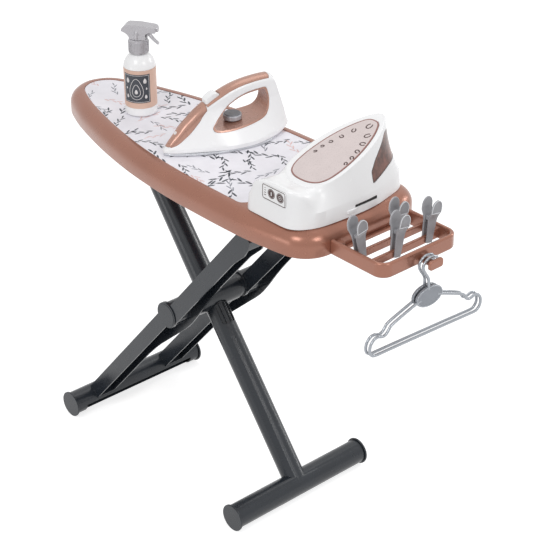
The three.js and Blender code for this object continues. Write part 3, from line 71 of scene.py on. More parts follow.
class BoardSizes(bpy.types.PropertyGroup):
    edge: FloatProperty(
        name="Edge radius", description="Rounding on the edges of the moulded pieces",
        default=0.6 * MM, min=0.0, max=3 * MM, unit="LENGTH")
    sprig_length: FloatProperty(
        name="Sprig length", description="Length of a printed sprig from end to end",
        default=37 * MM, min=5 * MM, max=80 * MM, unit="LENGTH")
    sprig_spacing: FloatProperty(
        name="Sprig spacing", description="Least distance between two printed sprigs",
        default=25 * MM, min=8 * MM, max=80 * MM, unit="LENGTH")
    leaf_count: IntProperty(
        name="Leaves", description="Leaves on each printed sprig", default=6, min=2, max=20)
    collar_ridges: IntProperty(
        name="Collar ridges", description="Grip ridges round the collar of the spray bottle",
        default=40, min=12, max=80)


class BoardFinishes(bpy.types.PropertyGroup):
    rose_gold: FloatVectorProperty(
        name="Rose gold", description="Pearl plastic of the board and the rack",
        subtype="COLOR", default=linear(156, 105, 86), min=0, max=1)
    rose_gold_trim: FloatVectorProperty(
        name="Rose gold trim", description="Paler pearl plastic of the iron's covers and handle liner",
        subtype="COLOR", default=linear(178, 136, 120), min=0, max=1)
    anthracite: FloatVectorProperty(
        name="Anthracite", description="Satin plastic of the legs",
        subtype="COLOR", default=linear(33, 38, 45), min=0, max=1)
    white: FloatVectorProperty(
        name="White", description="Glossy white plastic",
        subtype="COLOR", default=linear(245, 245, 246), min=0, max=1)
    print_ground: FloatVectorProperty(
        name="Print ground", description="Ground colour of the printed ironing surface",
        subtype="COLOR", default=linear(240, 238, 244), min=0, max=1)
    print_dark: FloatVectorProperty(
        name="Print dark", description="Darkest ink of the printed sprigs",
        subtype="COLOR", default=linear(66, 70, 78), min=0, max=1)
    print_grey: FloatVectorProperty(
        name="Print grey", description="Middle ink of the printed sprigs",
        subtype="COLOR", default=linear(142, 144, 152), min=0, max=1)
    print_blush: FloatVectorProperty(
        name="Print blush", description="Palest ink of the printed sprigs",
        subtype="COLOR", default=linear(226, 196, 194), min=0, max=1)
    blush: FloatVectorProperty(
        name="Blush", description="Sticker on the station's rest plate",
        subtype="COLOR", default=linear(217, 204, 202), min=0, max=1)
    blush_border: FloatVectorProperty(
        name="Blush border", description="Border and steam marks of the rest plate",
        subtype="COLOR", default=linear(150, 108, 101), min=0, max=1)
    smoke: FloatVectorProperty(
        name="Smoke", description="Window of the station's tank",
        subtype="COLOR", default=linear(102, 66, 56), min=0, max=1)
    silver: FloatVectorProperty(
        name="Silver", description="Silver plastic of the hangers",
        subtype="COLOR", default=linear(166, 170, 176), min=0, max=1)
    slate: FloatVectorProperty(
        name="Slate", description="Plastic of the clothes pegs",
        subtype="COLOR", default=linear(157, 157, 161), min=0, max=1)
    sprayer: FloatVectorProperty(
        name="Sprayer", description="Plastic of the spray head, its trigger and collar",
        subtype="COLOR", default=linear(182, 180, 184), min=0, max=1)
    wrap: FloatVectorProperty(
        name="Wrap", description="Label wrapped round the spray bottle",
        subtype="COLOR", default=linear(222, 187, 169), min=0, max=1)


# Curves and tables

def through(points, count, closed=False, tension=0.5):
    """Points along a smooth curve through the given ones."""
    points = np.asarray(points, float)
    size = len(points)
    spans = size if closed else size - 1
    steps = count if closed else count - 1
    placed = []
    for step in range(count):
        along = step * spans / steps
        first = min(int(along), spans - 1)
        share = along - first
        near = []
        for offset in (-1, 0, 1, 2):
            index = (first + offset) % size if closed else min(max(first + offset, 0), size - 1)
            near.append(points[index])
        leaving = tension * (near[2] - near[0])
        arriving = tension * (near[3] - near[1])
        square, cube = share ** 2, share ** 3
        placed.append((2 * cube - 3 * square + 1) * near[1] + (cube - 2 * square + share) * leaving
                      + (3 * square - 2 * cube) * near[2] + (cube - square) * arriving)
    return np.array(placed)


def read(table, place):
    """A value read from a table of (place, value), smooth between its entries and never past them."""
    places = [entry[0] for entry in table]
    values = [entry[1] for entry in table]
    if place <= places[0]:
        return values[0]
    if place >= places[-1]:
        return values[-1]
    first = bisect_right(places, place) - 1
    rises = [(values[i + 1] - values[i]) / (places[i + 1] - places[i]) for i in range(len(places) - 1)]

    def slope(i):
        if i == 0:
            return rises[0]
        if i == len(rises):
            return rises[-1]
        before, after = rises[i - 1], rises[i]
        if before * after <= 0:
            return 0.0
        return math.copysign(min(abs(before + after) / 2, 3 * abs(before), 3 * abs(after)), before)

    width = places[first + 1] - places[first]
    share = (place - places[first]) / width
    square, cube = share ** 2, share ** 3
    return ((2 * cube - 3 * square + 1) * values[first] + (cube - 2 * square + share) * width * slope(first)
            + (3 * square - 2 * cube) * values[first + 1] + (cube - square) * width * slope(first + 1))


def smoothstep(value, low, high):
    """0 below the low value, 1 above the high one and a smooth rise between them."""
    share = min(max((value - low) / (high - low), 0.0), 1.0)
    return share * share * (3 - 2 * share)


def arc(centre, radius, start, end, steps):
    """Points on a circle, with the angles in degrees."""
    angles = np.radians(np.linspace(start, end, steps + 1))
    return np.column_stack([centre[0] + radius * np.cos(angles), centre[1] + radius * np.sin(angles)])


def circle(centre, radius, sides=36):
    """A closed outline round a centre."""
    return arc(centre, radius, 0, 360 - 360 / sides, sides - 1)


def rounded(width, height, radius, steps=4, middle=(0.0, 0.0)):
    """A rounded rectangle about its middle, as a closed outline."""
    across, up = width / 2 - radius, height / 2 - radius
    corners = [(across, -up, -90), (across, up, 0), (-across, up, 90), (-across, -up, 180)]
    return np.vstack([
        arc((middle[0] + x, middle[1] + y), radius, start, start + 90, steps) for x, y, start in corners])


def eased(points, radius, steps=4):
    """A closed outline of straight runs with its corners rounded."""
    points = np.asarray(points, float)
    shares = np.linspace(0, 1, steps + 1)[:, None]

    def towards(corner, other):
        run = other - corner
        length = np.linalg.norm(run)
        return corner + run / length * min(radius, length * 0.45)

    outline = []
    for before, corner, after in zip(np.roll(points, 1, axis=0), points, np.roll(points, -1, axis=0)):
        start, end = towards(corner, before), towards(corner, after)
        outline.append((1 - shares) ** 2 * start + 2 * shares * (1 - shares) * corner + shares ** 2 * end)
    return np.vstack(outline)


def moved_in(ring, inset):
    """A closed outline that runs anticlockwise, with each point moved in square to its edge."""
    along = np.roll(ring, -1, axis=0) - np.roll(ring, 1, axis=0)
    along /= np.linalg.norm(along, axis=1)[:, None]
    return ring + inset * np.column_stack([-along[:, 1], along[:, 0]])


def at_height(outline, height):
    """A flat outline as points in space, all at one height."""
    return np.column_stack([outline, np.full(len(outline), float(height))])


# Meshes

BUILT_WELD = 0.004
COPY_WELD = 0.01
SAME_PLANE = math.radians(0.7)


def lofted(rings, caps=True):
    """Corners and faces of a skin over rings of equally many points."""
    count = len(rings[0])
    faces = []
    for level in range(len(rings) - 1):
        for i in range(count):
            a, b = level * count + i, level * count + (i + 1) % count
            faces.append((a, b, b + count, a + count))
    if caps:
        last = (len(rings) - 1) * count
        faces.append(tuple(reversed(range(count))))
        faces.append(tuple(range(last, last + count)))
    return np.vstack(rings), faces


def prism(outline, low, high, axis="Z", edge=0.0, steps=3):
    """An outline pushed along an axis, with rounded rims where an edge is given."""
    levels = [(0.0, low), (0.0, high)]
    if edge:
        turns = [math.radians(90 * step / steps) for step in range(steps + 1)]
        levels = [(edge * (1 - math.sin(t)), low + edge * (1 - math.cos(t))) for t in turns]
        levels += [(edge * (1 - math.cos(t)), high - edge * (1 - math.sin(t))) for t in turns]
    corners, faces = lofted([at_height(moved_in(outline, inset), height) for inset, height in levels])
    if axis == "X":
        corners = corners[:, [2, 0, 1]]
    if axis == "Y":
        corners = corners[:, [0, 2, 1]]
    return corners, faces


def turned(profile, sides=96):
    """A profile of (radius, height) turned about Z."""
    angles = np.linspace(0, 2 * math.pi, sides, endpoint=False)
    rings = [np.column_stack([radius * np.cos(angles), radius * np.sin(angles), np.full(sides, float(height))])
             for radius, height in profile]
    return lofted(rings)


def swept(path, section, up, closed=False):
    """A section of (sideways, upwards) carried along a path; up is the same all along it."""
    path = np.asarray(path, float)
    up = np.asarray(up, float)
    if closed:
        along = np.roll(path, -1, axis=0) - np.roll(path, 1, axis=0)
    else:
        along = np.gradient(path, axis=0)
    side = np.cross(along, up)
    side /= np.linalg.norm(side, axis=1)[:, None]
    rings = [point + section[:, :1] * across + section[:, 1:] * up for point, across in zip(path, side)]
    if closed:
        rings.append(rings[0])
    return lofted(rings, caps=not closed)


def joined(*shapes):
    """Several lots of corners and faces as one."""
    corners, faces, start = [], [], 0
    for points, polygons in shapes:
        corners.append(points)
        faces += [tuple(index + start for index in polygon) for polygon in polygons]
        start += len(points)
    return np.vstack(corners), faces


def placed(shape, turn=0.0, move=(0, 0, 0), about="Z"):
    """A shape turned by an angle in degrees and then moved."""
    corners, faces = shape
    matrix = np.array(Matrix.Rotation(math.radians(turn), 3, about))
    return corners @ matrix.T + np.asarray(move, float), faces


@contextmanager
def opened(mesh):
    """A mesh laid open for editing, and written back afterwards."""
    working = bmesh.new()
    working.from_mesh(mesh)
    yield working
    working.to_mesh(mesh)
    working.free()
    mesh.update()


def welded(working, reach):
    """Joins corners within the reach of each other and takes out the slivers that this leaves."""
    bmesh.ops.remove_doubles(working, verts=working.verts, dist=reach * MM)
    bmesh.ops.dissolve_degenerate(working, edges=working.edges, dist=reach / 2 * MM)


def shown(name, data):
    """A new object in the scene that shows a mesh, a camera or a lamp."""
    piece = bpy.data.objects.new(name, data)
    bpy.context.scene.collection.objects.link(piece)
    return piece


def built(name, shape):
    """An object from corners and faces, welded and with its faces outwards."""
    corners, faces = shape
    mesh = bpy.data.meshes.new(name)
    mesh.from_pydata([tuple(point) for point in np.asarray(corners) * MM], [], faces)
    with opened(mesh) as working:
        welded(working, BUILT_WELD)
        bmesh.ops.recalc_face_normals(working, faces=working.faces)
    return shown(name, mesh)


def stood(piece, place, turn):
    """A piece that was made about its own axis, turned and set down at its place on the board."""
    piece.data.transform(Matrix.Translation(Vector(place) * MM) @ Matrix.Rotation(math.radians(turn), 4, "Z"))
    return piece


def settled(piece):
    """The piece with its modifiers made part of its mesh."""
    bpy.context.view_layer.update()
    evaluated = piece.evaluated_get(bpy.context.evaluated_depsgraph_get())
    mesh = bpy.data.meshes.new_from_object(evaluated)
    old = piece.data
    piece.modifiers.clear()
    piece.data = mesh
    bpy.data.meshes.remove(old)
    return piece


def combined(piece, shape, operation):
    """Cuts a shape from the piece, joins it on, or keeps what both have in common."""
    other = built("tool", shape) if isinstance(shape, tuple) else shape
    modifier = piece.modifiers.new("Combine", "BOOLEAN")
    modifier.operation = operation
    modifier.solver = "MANIFOLD"
    modifier.object = other
    settled(piece)
    bpy.data.objects.remove(other)
    if not piece.data.polygons:
        raise RuntimeError(f"{piece.name}: nothing is left after {operation}")
    return piece


def softened(piece, width, angle=32, segments=2):
    """Rounds the sharp edges."""
    modifier = piece.modifiers.new("Edges", "BEVEL")
    modifier.width = width
    modifier.segments = segments
    modifier.limit_method = "ANGLE"
    modifier.angle_limit = math.radians(angle)
    return settled(piece)


def shaded(piece, angle=34, level=True):
    """Smooth shading with crisp edges; where asked, large flat faces stay flat beside their rounded rims."""
    piece.data.shade_smooth()
    piece.data.set_sharp_from_angle(angle=math.radians(angle))
    if not level:
        return piece
    modifier = piece.modifiers.new("Flat faces", "WEIGHTED_NORMAL")
    modifier.keep_sharp = True
    return settled(piece)


def painted(piece, *materials):
    """The piece in the given finishes; faces that choose none have the first."""
    piece.data.materials.clear()
    for material in materials:
        piece.data.materials.append(material)
    return piece


def handed_over(piece, body, slot, *nodes):
    """Puts a finished piece on its body in place of the nodes that it stands for; the slot is not used."""
    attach(piece, body)
    if nodes:
        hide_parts(*nodes)
    return piece


def completed(piece, material, body, slot, *nodes, angle=34, level=True):
    """Shades and paints a piece and hands it over."""
    painted(shaded(piece, angle, level), material)
    return handed_over(piece, body, slot, *nodes)


def body_of(node):
    """The name of the body that a node of the frame moves with."""
    return next(body for body, members in frame["record"]["behaviour"]["bodies"].items() if node in members)


def dressed(node, material, slot, edge=0.0, angle=34):
    """A welded copy of a node of the frame, with soft edges and a finish, in the node's place."""
    mesh = frame["nodes"][node].data.copy()
    mesh.name = node + "_finished"
    with opened(mesh) as working:
        welded(working, COPY_WELD)
        bmesh.ops.dissolve_limit(working, verts=working.verts, edges=working.edges, angle_limit=SAME_PLANE)
    if "custom_normal" in mesh.attributes:
        mesh.attributes.remove(mesh.attributes["custom_normal"])
    piece = shown(node + "_finished", mesh)
    if edge:
        softened(piece, edge, angle)
    return completed(piece, material, body_of(node), slot, node, angle=angle)


# Node trees

class Sheet:
    """Draws a node tree, one node at a time."""

    def __init__(self, tree):
        self.tree = tree

    def add(self, kind, values=None, **settings):
        node = self.tree.nodes.new(kind)
        for key, value in settings.items():
            setattr(node, key, value)
        for key, value in (values or {}).items():
            socket = node.inputs[key]
            if isinstance(value, bpy.types.NodeSocket):
                self.tree.links.new(value, socket)
            else:
                socket.default_value = value
        return node

    def math(self, operation, *values):
        return self.add("ShaderNodeMath", dict(enumerate(values)), operation=operation).outputs[0]

    def mix(self, share, first, second):
        node = self.add("ShaderNodeMix", {0: share, 6: first, 7: second}, data_type="RGBA")
        return node.outputs[2]

    def ranged(self, value, low, high, to_low, to_high):
        node = self.add("ShaderNodeMapRange", {0: value, 1: low, 2: high, 3: to_low, 4: to_high})
        return node.outputs[0]

    def spread(self, noise, low, high):
        """A noise, which mostly lies between 0.3 and 0.7, spread from the low value to the high one."""
        return self.ranged(noise, 0.3, 0.7, low, high)

    def place(self):
        return self.add("ShaderNodeTexCoord").outputs["Object"]

    def noise(self, place, scale, detail=3.0, roughness=0.5):
        node = self.add("ShaderNodeTexNoise", {
            "Vector": place, "Scale": scale, "Detail": detail, "Roughness": roughness})
        return node.outputs["Fac"]

    def vector(self, x=0.0, y=0.0, z=0.0):
        return self.add("ShaderNodeCombineXYZ", {0: x, 1: y, 2: z}).outputs[0]

    def drawn(self, kind, low, high, seed):
        """A number drawn at random for each point."""
        first, result = {"FLOAT": (2, 1), "INT": (4, 2)}[kind]
        node = self.add("FunctionNodeRandomValue", {first: low, first + 1: high, 8: seed}, data_type=kind)
        return node.outputs[result]

    def stored(self, name):
        """A number that each point carries under this name."""
        return self.add("GeometryNodeInputNamedAttribute", {"Name": name}, data_type="FLOAT").outputs[0]

    def surface(self, values):
        """Ends a material's tree."""
        shader = self.add("ShaderNodeBsdfPrincipled", values)
        self.add("ShaderNodeOutputMaterial", {"Surface": shader.outputs[0]})


def blank(kind, name):
    """A new material or world with an empty node tree, and the sheet to draw it on."""
    empty = kind.new(name)
    empty.use_nodes = True
    empty.node_tree.nodes.clear()
    return empty, Sheet(empty.node_tree)


def lighter(colour, share):
    """The colour, as light, times a share."""
    return tuple(min(value * share, 1.0) for value in colour) + (1.0,)


# Finishes

GRAIN = 700.0
TOOTH = 520.0
FLECKS = 1900.0
FLECK_TONE = 1.7
WEAR_AND_SHEEN_TONE = 1.55


def moulded(name, colour, roughness, metallic=0.0, coat=0.0, shift=0.06, patch=18.0, relief=0.03, wear_and_sheen=0.25,
            fleck=0.0, edge=0.5, uneven=0.05):
    """Moulded plastic: faint cloudy colour, edges painted lighter as both wear and a painted highlight, a fine texture
    and an uneven gloss.
    """
    material, sheet = blank(bpy.data.materials, name)
    place = sheet.place()
    cloud = sheet.noise(place, patch, 4.0)
    fine = sheet.noise(place, GRAIN, 2.0)
    base = sheet.mix(sheet.spread(cloud, 0.0, 1.0), lighter(colour, 1 - shift), lighter(colour, 1 + shift))
    if fleck:
        cells = sheet.add("ShaderNodeTexVoronoi", {"Vector": place, "Scale": FLECKS}).outputs["Color"]
        bright = sheet.add("ShaderNodeSeparateColor", {0: cells}).outputs[0]
        base = sheet.mix(sheet.ranged(bright, 0.55, 1.0, 0.0, fleck), base, lighter(colour, FLECK_TONE))
    soft = sheet.add("ShaderNodeBevel", {"Radius": edge * MM}, samples=4).outputs["Normal"]
    flat = sheet.add("ShaderNodeNewGeometry").outputs["Normal"]
    bend = sheet.add("ShaderNodeVectorMath", {0: soft, 1: flat}, operation="DOT_PRODUCT").outputs["Value"]
    # Edges are painted lighter where the bevel normal turns away: partly rubbed wear, partly a painted highlight that
    # stands in for light on rounded edges
    wear_and_sheen_mask = sheet.math("MULTIPLY", sheet.ranged(bend, 0.995, 0.86, 0.0, wear_and_sheen), sheet.ranged(fine, 0.35, 0.6, 0.5, 1.0))
    base = sheet.mix(wear_and_sheen_mask, base, lighter(colour, WEAR_AND_SHEEN_TONE))
    gloss = sheet.spread(sheet.noise(place, patch * 2.3, 5.0), roughness - uneven, roughness + uneven)
    bump = sheet.add("ShaderNodeBump", {
        "Strength": 0.5, "Distance": relief * MM, "Height": fine, "Normal": soft}).outputs[0]
    sheet.surface({
        "Base Color": base, "Metallic": metallic, "Roughness": gloss, "Specular IOR Level": 0.5,
        "Coat Weight": coat, "Coat Roughness": 0.2, "Normal": bump})
    return material


def printed(name, colour, roughness=0.55, shift=0.03, relief=0.02):
    """Ink or paper: a slight mottle and a faint tooth."""
    material, sheet = blank(bpy.data.materials, name)
    place = sheet.place()
    mottle = sheet.noise(place, 60.0, 5.0)
    tooth = sheet.noise(place, TOOTH, 2.0)
    base = sheet.mix(sheet.spread(mottle, 0.0, 1.0), lighter(colour, 1 - shift), lighter(colour, 1 + shift))
    gloss = sheet.spread(tooth, roughness - 0.06, roughness + 0.06)
    bump = sheet.add("ShaderNodeBump", {"Strength": 0.4, "Distance": relief * MM, "Height": tooth}).outputs[0]
    sheet.surface({"Base Color": base, "Roughness": gloss, "Specular IOR Level": 0.4, "Normal": bump})
    return material


def smoked(name, colour):
    """The tank's window: dark tinted plastic, mottled as with water behind it."""
    material, sheet = blank(bpy.data.materials, name)
    place = sheet.place()
    wave = sheet.noise(place, 38.0, 3.0, 0.6)
    mottle = sheet.noise(place, 150.0, 4.0, 0.6)
    blend = sheet.math("ADD", sheet.math("MULTIPLY", wave, 0.7), sheet.math("MULTIPLY", mottle, 0.3))
    base = sheet.mix(sheet.ranged(blend, 0.38, 0.62, 0.0, 1.0), lighter(colour, 0.6), lighter(colour, 2.0))
    gloss = sheet.spread(mottle, 0.1, 0.2)
    bump = sheet.add("ShaderNodeBump", {"Strength": 0.25, "Distance": 0.3 * MM, "Height": wave}).outputs[0]
    sheet.surface({
        "Base Color": base, "Roughness": gloss, "Specular IOR Level": 0.45, "Coat Weight": 0.1,
        "Coat Roughness": 0.06, "Normal": bump})
    return material


# Each finish: how it is made, its colour or the name of its colour property, and its settings

FINISHES = {
    "rose gold pearl": (moulded, "rose_gold", dict(
        roughness=0.29, metallic=0.45, coat=0.25, patch=11.0, relief=0.012, wear_and_sheen=0.5, fleck=0.14, edge=0.7)),
    "rose gold trim": (moulded, "rose_gold_trim", dict(
        roughness=0.28, metallic=0.4, coat=0.15, shift=0.05, patch=24.0, relief=0.01, wear_and_sheen=0.3, fleck=0.1)),
    "anthracite satin": (moulded, "anthracite", dict(roughness=0.27, shift=0.1, patch=14.0, relief=0.015, wear_and_sheen=0.5)),
    "white gloss": (moulded, "white", dict(
        roughness=0.26, coat=0.2, shift=0.008, patch=20.0, relief=0.005, wear_and_sheen=0.0, uneven=0.015)),
    "print ground": (printed, "print_ground", dict(roughness=0.5)),
    "dark ink": (printed, "print_dark", dict(shift=0.12)),
    "grey ink": (printed, "print_grey", dict(shift=0.08)),
    "blush ink": (printed, "print_blush", dict(shift=0.05)),
    "blush sticker": (printed, "blush", dict(roughness=0.3, relief=0.01)),
    "blush border": (printed, "blush_border", dict(roughness=0.32, shift=0.06, relief=0.01)),
    "label ink": (printed, linear(84, 66, 64), dict(roughness=0.5, shift=0.08)),
    "smoke window": (smoked, "smoke", {}),
    # A darker band round the tank window: painted shade along its edge
    "window rim": (moulded, linear(70, 46, 42), dict(roughness=0.3, shift=0.08, patch=60.0, wear_and_sheen=0.1)),
    # The dark block behind the station's slit: painted shade
    "vent shade": (moulded, linear(36, 34, 34), dict(roughness=0.6, shift=0.1, patch=60.0, wear_and_sheen=0.0)),
    "sole plastic": (moulded, linear(208, 210, 215), dict(roughness=0.24, metallic=0.25, shift=0.03, patch=30.0)),
    "dial side": (moulded, linear(182, 184, 190), dict(roughness=0.3, metallic=0.15, shift=0.05, patch=40.0)),
    "dial top": (moulded, linear(120, 122, 128), dict(roughness=0.42, shift=0.22, patch=230.0, wear_and_sheen=0.2)),
    "sprayer plastic": (moulded, "sprayer", dict(
        roughness=0.28, metallic=0.25, shift=0.04, patch=45.0, relief=0.006, edge=0.3)),
    "wrap label": (printed, "wrap", dict(roughness=0.42, relief=0.01)),
    "wrap panel": (printed, linear(69, 72, 79), dict(roughness=0.42, shift=0.06, relief=0.01)),
    "wrap motif": (printed, linear(226, 222, 222), dict(roughness=0.42, relief=0.01)),
    "slate plastic": (moulded, "slate", dict(roughness=0.34, shift=0.08, patch=90.0, wear_and_sheen=0.9, edge=0.7)),
    # The pegs' pale rim line is a painted highlight
    "slate rim": (moulded, linear(222, 224, 228), dict(roughness=0.34, shift=0.04, patch=45.0, wear_and_sheen=0.2)),
    "silver plastic": (moulded, "silver", dict(
        roughness=0.2, metallic=0.5, shift=0.04, patch=30.0, relief=0.006, wear_and_sheen=0.2, edge=0.12)),
    "badge plastic": (moulded, linear(140, 144, 151), dict(roughness=0.34, metallic=0.3, shift=0.05, patch=40.0)),
    "steel": (moulded, linear(185, 188, 192), dict(
        roughness=0.3, metallic=0.9, shift=0.05, patch=60.0, relief=0.02)),
}


@cache
def finish(name):
    """The finish of that name, made when it is first asked for."""
    make, colour, settings = FINISHES[name]
    if isinstance(colour, str):
        colour = tuple(getattr(bpy.context.scene.toy_finishes, colour))
    return make(name, colour, **settings)


# Repeated pieces, set out by geometry node trees

class Pattern:
    """A geometry node tree with named inputs for its sizes."""

    def __init__(self, name, inputs):
        self.tree = bpy.data.node_groups.new(name, "GeometryNodeTree")
        self.name = name
        face = self.tree.interface
        face.new_socket("Geometry", in_out="INPUT", socket_type="NodeSocketGeometry")
        self.sockets = {}
        for label, kind, default in inputs:
            socket = face.new_socket(label, in_out="INPUT", socket_type="NodeSocket" + kind)
            socket.default_value = default
            self.sockets[label] = socket.identifier
        socket = face.new_socket("Material", in_out="INPUT", socket_type="NodeSocketMaterial")
        self.sockets["Material"] = socket.identifier
        face.new_socket("Geometry", in_out="OUTPUT", socket_type="NodeSocketGeometry")
        self.sheet = Sheet(self.tree)
        self.given = self.sheet.add("NodeGroupInput").outputs

    def finished(self, geometry):
        """Ends the tree with real faces in the given material."""
        real = self.sheet.add("GeometryNodeRealizeInstances", {"Geometry": geometry}).outputs[0]
        coated = self.sheet.add("GeometryNodeSetMaterial", {"Geometry": real, "Material": self.given["Material"]})
        self.sheet.add("NodeGroupOutput", {"Geometry": coated.outputs[0]})
        return self

    def used_on(self, piece, **values):
        """Runs the tree on a piece; an underscore in a value's name stands for a space."""
        modifier = piece.modifiers.new(self.name, "NODES")
        modifier.node_group = self.tree
        for label, value in values.items():
            modifier[self.sockets[label.replace("_", " ")]] = value
        return settled(piece)


def points_with(name, places, **values):
    """An object of loose points, with a number stored on each for every name given."""
    mesh = bpy.data.meshes.new(name)
    mesh.from_pydata([tuple(np.asarray(place, float) * MM) for place in places], [], [])
    for label, numbers in values.items():
        layer = mesh.attributes.new(label, "FLOAT", "POINT")
        layer.data.foreach_set("value", [float(number) for number in numbers])
    return shown(name, mesh)


def block_pattern():
    """Upright blocks on points: each is turned by its point's turn and as long as its point's reach."""
    pattern = Pattern("Set out blocks", [
        ("Thickness", "Float", RIB_THICKNESS * MM), ("Height", "Float", RIB_HEIGHT * MM)])
    sheet, given = pattern.sheet, pattern.given
    size = sheet.vector(given["Thickness"], 1.0, given["Height"])
    upright = sheet.add("GeometryNodeMeshCube", {"Size": size}).outputs["Mesh"]
    laid = sheet.add("GeometryNodeInstanceOnPoints", {
        "Points": given["Geometry"], "Instance": upright, "Rotation": sheet.vector(z=sheet.stored("turn")),
        "Scale": sheet.vector(1.0, sheet.stored("reach"), 1.0)})
    return pattern.finished(laid.outputs[0])


def sprig_pattern():
    """Printed sprigs strewn over a sheet: a bent stem with pairs of leaves on it."""
    pattern = Pattern("Strew sprigs", [
        ("Spacing", "Float", 25 * MM), ("Length", "Float", 37 * MM), ("Bend", "Float", SPRIG_BEND * MM),
        ("Leaves", "Int", 6), ("Leaf Length", "Float", LEAF_LENGTH * MM), ("Leaf Width", "Float", LEAF_WIDTH * MM),
        ("Stem Width", "Float", SPRIG_STEM * MM), ("Opening", "Float", 0.4), ("From", "Int", 0), ("To", "Int", 100),
        ("Seed", "Int", SPRIG_SEED),
    ])
    sheet, given = pattern.sheet, pattern.given
    stem = sheet.add("GeometryNodeCurveQuadraticBezier", {
        "Resolution": 7, "Start": sheet.vector(sheet.math("MULTIPLY", given["Length"], -0.5)),
        "Middle": sheet.vector(y=given["Bend"]),
        "End": sheet.vector(sheet.math("MULTIPLY", given["Length"], 0.5))}).outputs[0]
    nib = sheet.add("GeometryNodeCurvePrimitiveCircle", {"Resolution": 4, "Radius": given["Stem Width"]}).outputs[0]
    line = sheet.add("GeometryNodeCurveToMesh", {"Curve": stem, "Profile Curve": nib, "Fill Caps": True}).outputs[0]
    along = sheet.add("GeometryNodeCurveToPoints", {"Curve": stem, "Count": given["Leaves"]}, mode="COUNT").outputs
    disc = sheet.add("GeometryNodeMeshCylinder", {"Vertices": 6, "Radius": 0.5, "Depth": 1.0}, fill_type="NGON")
    leaf = sheet.add("GeometryNodeTransform", {
        "Geometry": disc.outputs[0], "Translation": sheet.vector(0.5)}).outputs[0]
    odd = sheet.math("MODULO", sheet.add("GeometryNodeInputIndex").outputs[0], 2.0)
    side = sheet.math("SUBTRACT", sheet.math("MULTIPLY", odd, 2.0), 1.0)
    swing = sheet.vector(z=sheet.math("MULTIPLY", side, given["Opening"]))
    heading = sheet.add("FunctionNodeAlignRotationToVector", {"Vector": along["Tangent"]}, axis="X").outputs[0]
    opening = sheet.add("FunctionNodeEulerToRotation", {0: swing}).outputs[0]
    aimed = sheet.add("FunctionNodeRotateRotation", {0: heading, 1: opening}, rotation_space="LOCAL").outputs[0]
    size = sheet.vector(given["Leaf Length"], given["Leaf Width"], given["Stem Width"])
    leaves = sheet.add("GeometryNodeInstanceOnPoints", {
        "Points": along["Points"], "Instance": leaf, "Rotation": aimed, "Scale": size}).outputs[0]
    whole = sheet.add("GeometryNodeJoinGeometry")
    for part in (line, leaves):
        sheet.tree.links.new(part, whole.inputs[0])
    sprig = sheet.add("GeometryNodeTransform", {
        "Geometry": sheet.add("GeometryNodeRealizeInstances", {0: whole.outputs[0]}).outputs[0],
        "Scale": (1.0, 1.0, 0.12)}).outputs[0]
    strewn = sheet.add("GeometryNodeDistributePointsOnFaces", {
        "Mesh": given["Geometry"], "Distance Min": given["Spacing"], "Density Max": 9000.0,
        "Seed": given["Seed"]}, distribute_method="POISSON").outputs["Points"]
    draw = sheet.drawn("INT", 0, 99, seed=3)
    above = sheet.add("FunctionNodeCompare", {2: draw, 3: given["From"]}, data_type="INT", operation="GREATER_EQUAL")
    below = sheet.add("FunctionNodeCompare", {2: draw, 3: given["To"]}, data_type="INT", operation="LESS_THAN")
    chosen = sheet.add("FunctionNodeBooleanMath", {0: above.outputs[0], 1: below.outputs[0]}, operation="AND")
    turn = sheet.drawn("FLOAT", 0.0, 2 * math.pi, seed=7)
    size = sheet.drawn("FLOAT", 0.75, 1.15, seed=5)
    laid = sheet.add("GeometryNodeInstanceOnPoints", {
        "Points": strewn, "Selection": chosen.outputs[0], "Instance": sprig, "Rotation": sheet.vector(z=turn),
        "Scale": sheet.vector(size, size, 1.0)})
    return pattern.finished(laid.outputs[0])


def hoop_pattern():
    """Open hoops on points, each turned by its point's turn and as wide as its point says."""
    pattern = Pattern("Set out hoops", [("Line", "Float", HOOP_LINE * MM), ("Gap", "Float", HOOP_GAP)])
    sheet, given = pattern.sheet, pattern.given
    hoop = sheet.add("GeometryNodeCurveArc", {
        "Resolution": 22, "Radius": 1.0, "Start Angle": sheet.math("MULTIPLY", given["Gap"], 0.5),
        "Sweep Angle": sheet.math("SUBTRACT", 2 * math.pi, given["Gap"])}, mode="RADIUS").outputs[0]
    wide = sheet.stored("wide")
    laid = sheet.add("GeometryNodeInstanceOnPoints", {
        "Points": given["Geometry"], "Instance": hoop, "Rotation": sheet.vector(z=sheet.stored("turn")),
        "Scale": sheet.vector(sheet.math("MULTIPLY", wide, 1.35), wide, wide)}).outputs[0]
    real = sheet.add("GeometryNodeRealizeInstances", {0: laid}).outputs[0]
    nib = sheet.add("GeometryNodeCurvePrimitiveCircle", {"Resolution": 6, "Radius": given["Line"]}).outputs[0]
    line = sheet.add("GeometryNodeCurveToMesh", {"Curve": real, "Profile Curve": nib, "Fill Caps": True}).outputs[0]
    flat = sheet.add("GeometryNodeTransform", {"Geometry": line, "Scale": (1.0, 1.0, 0.25)}).outputs[0]
    return pattern.finished(flat)


# The board

SHIFT = 5.0
NOSE_REACH = 386.0
SKIRT_END = 252.0
BOARD_HALF = 125.0
NOSE_FLAT = 1.5
CORNER_RADIUS = 46.0
CORNER_RISE = 49.0
CORNER_START = -75.6
RIM_TOP = 540.5
SKIRT_BOTTOM = 505.0
SHOULDER = (20.0, 21.0)
RIM_WIDTH = 3.0
SKIRT_WALL = 3.0
SKIN_UNDERSIDE = 534.7
PRINT_FLOOR = 537.7
PRINT_TOP = 539.7
PRINT_END = 116.0
PRINT_CORNER = 14.0
OUTLINE_SHARES = [
    (-1, 0), (-0.9819, 0.208), (-0.9378, 0.368), (-0.8549, 0.496), (-0.7383, 0.624), (-0.544, 0.784),
    (-0.3238, 0.912), (-0.1036, 0.98), (0.1786, 1), (0.5159, 0.992), (0.746, 0.944),
]


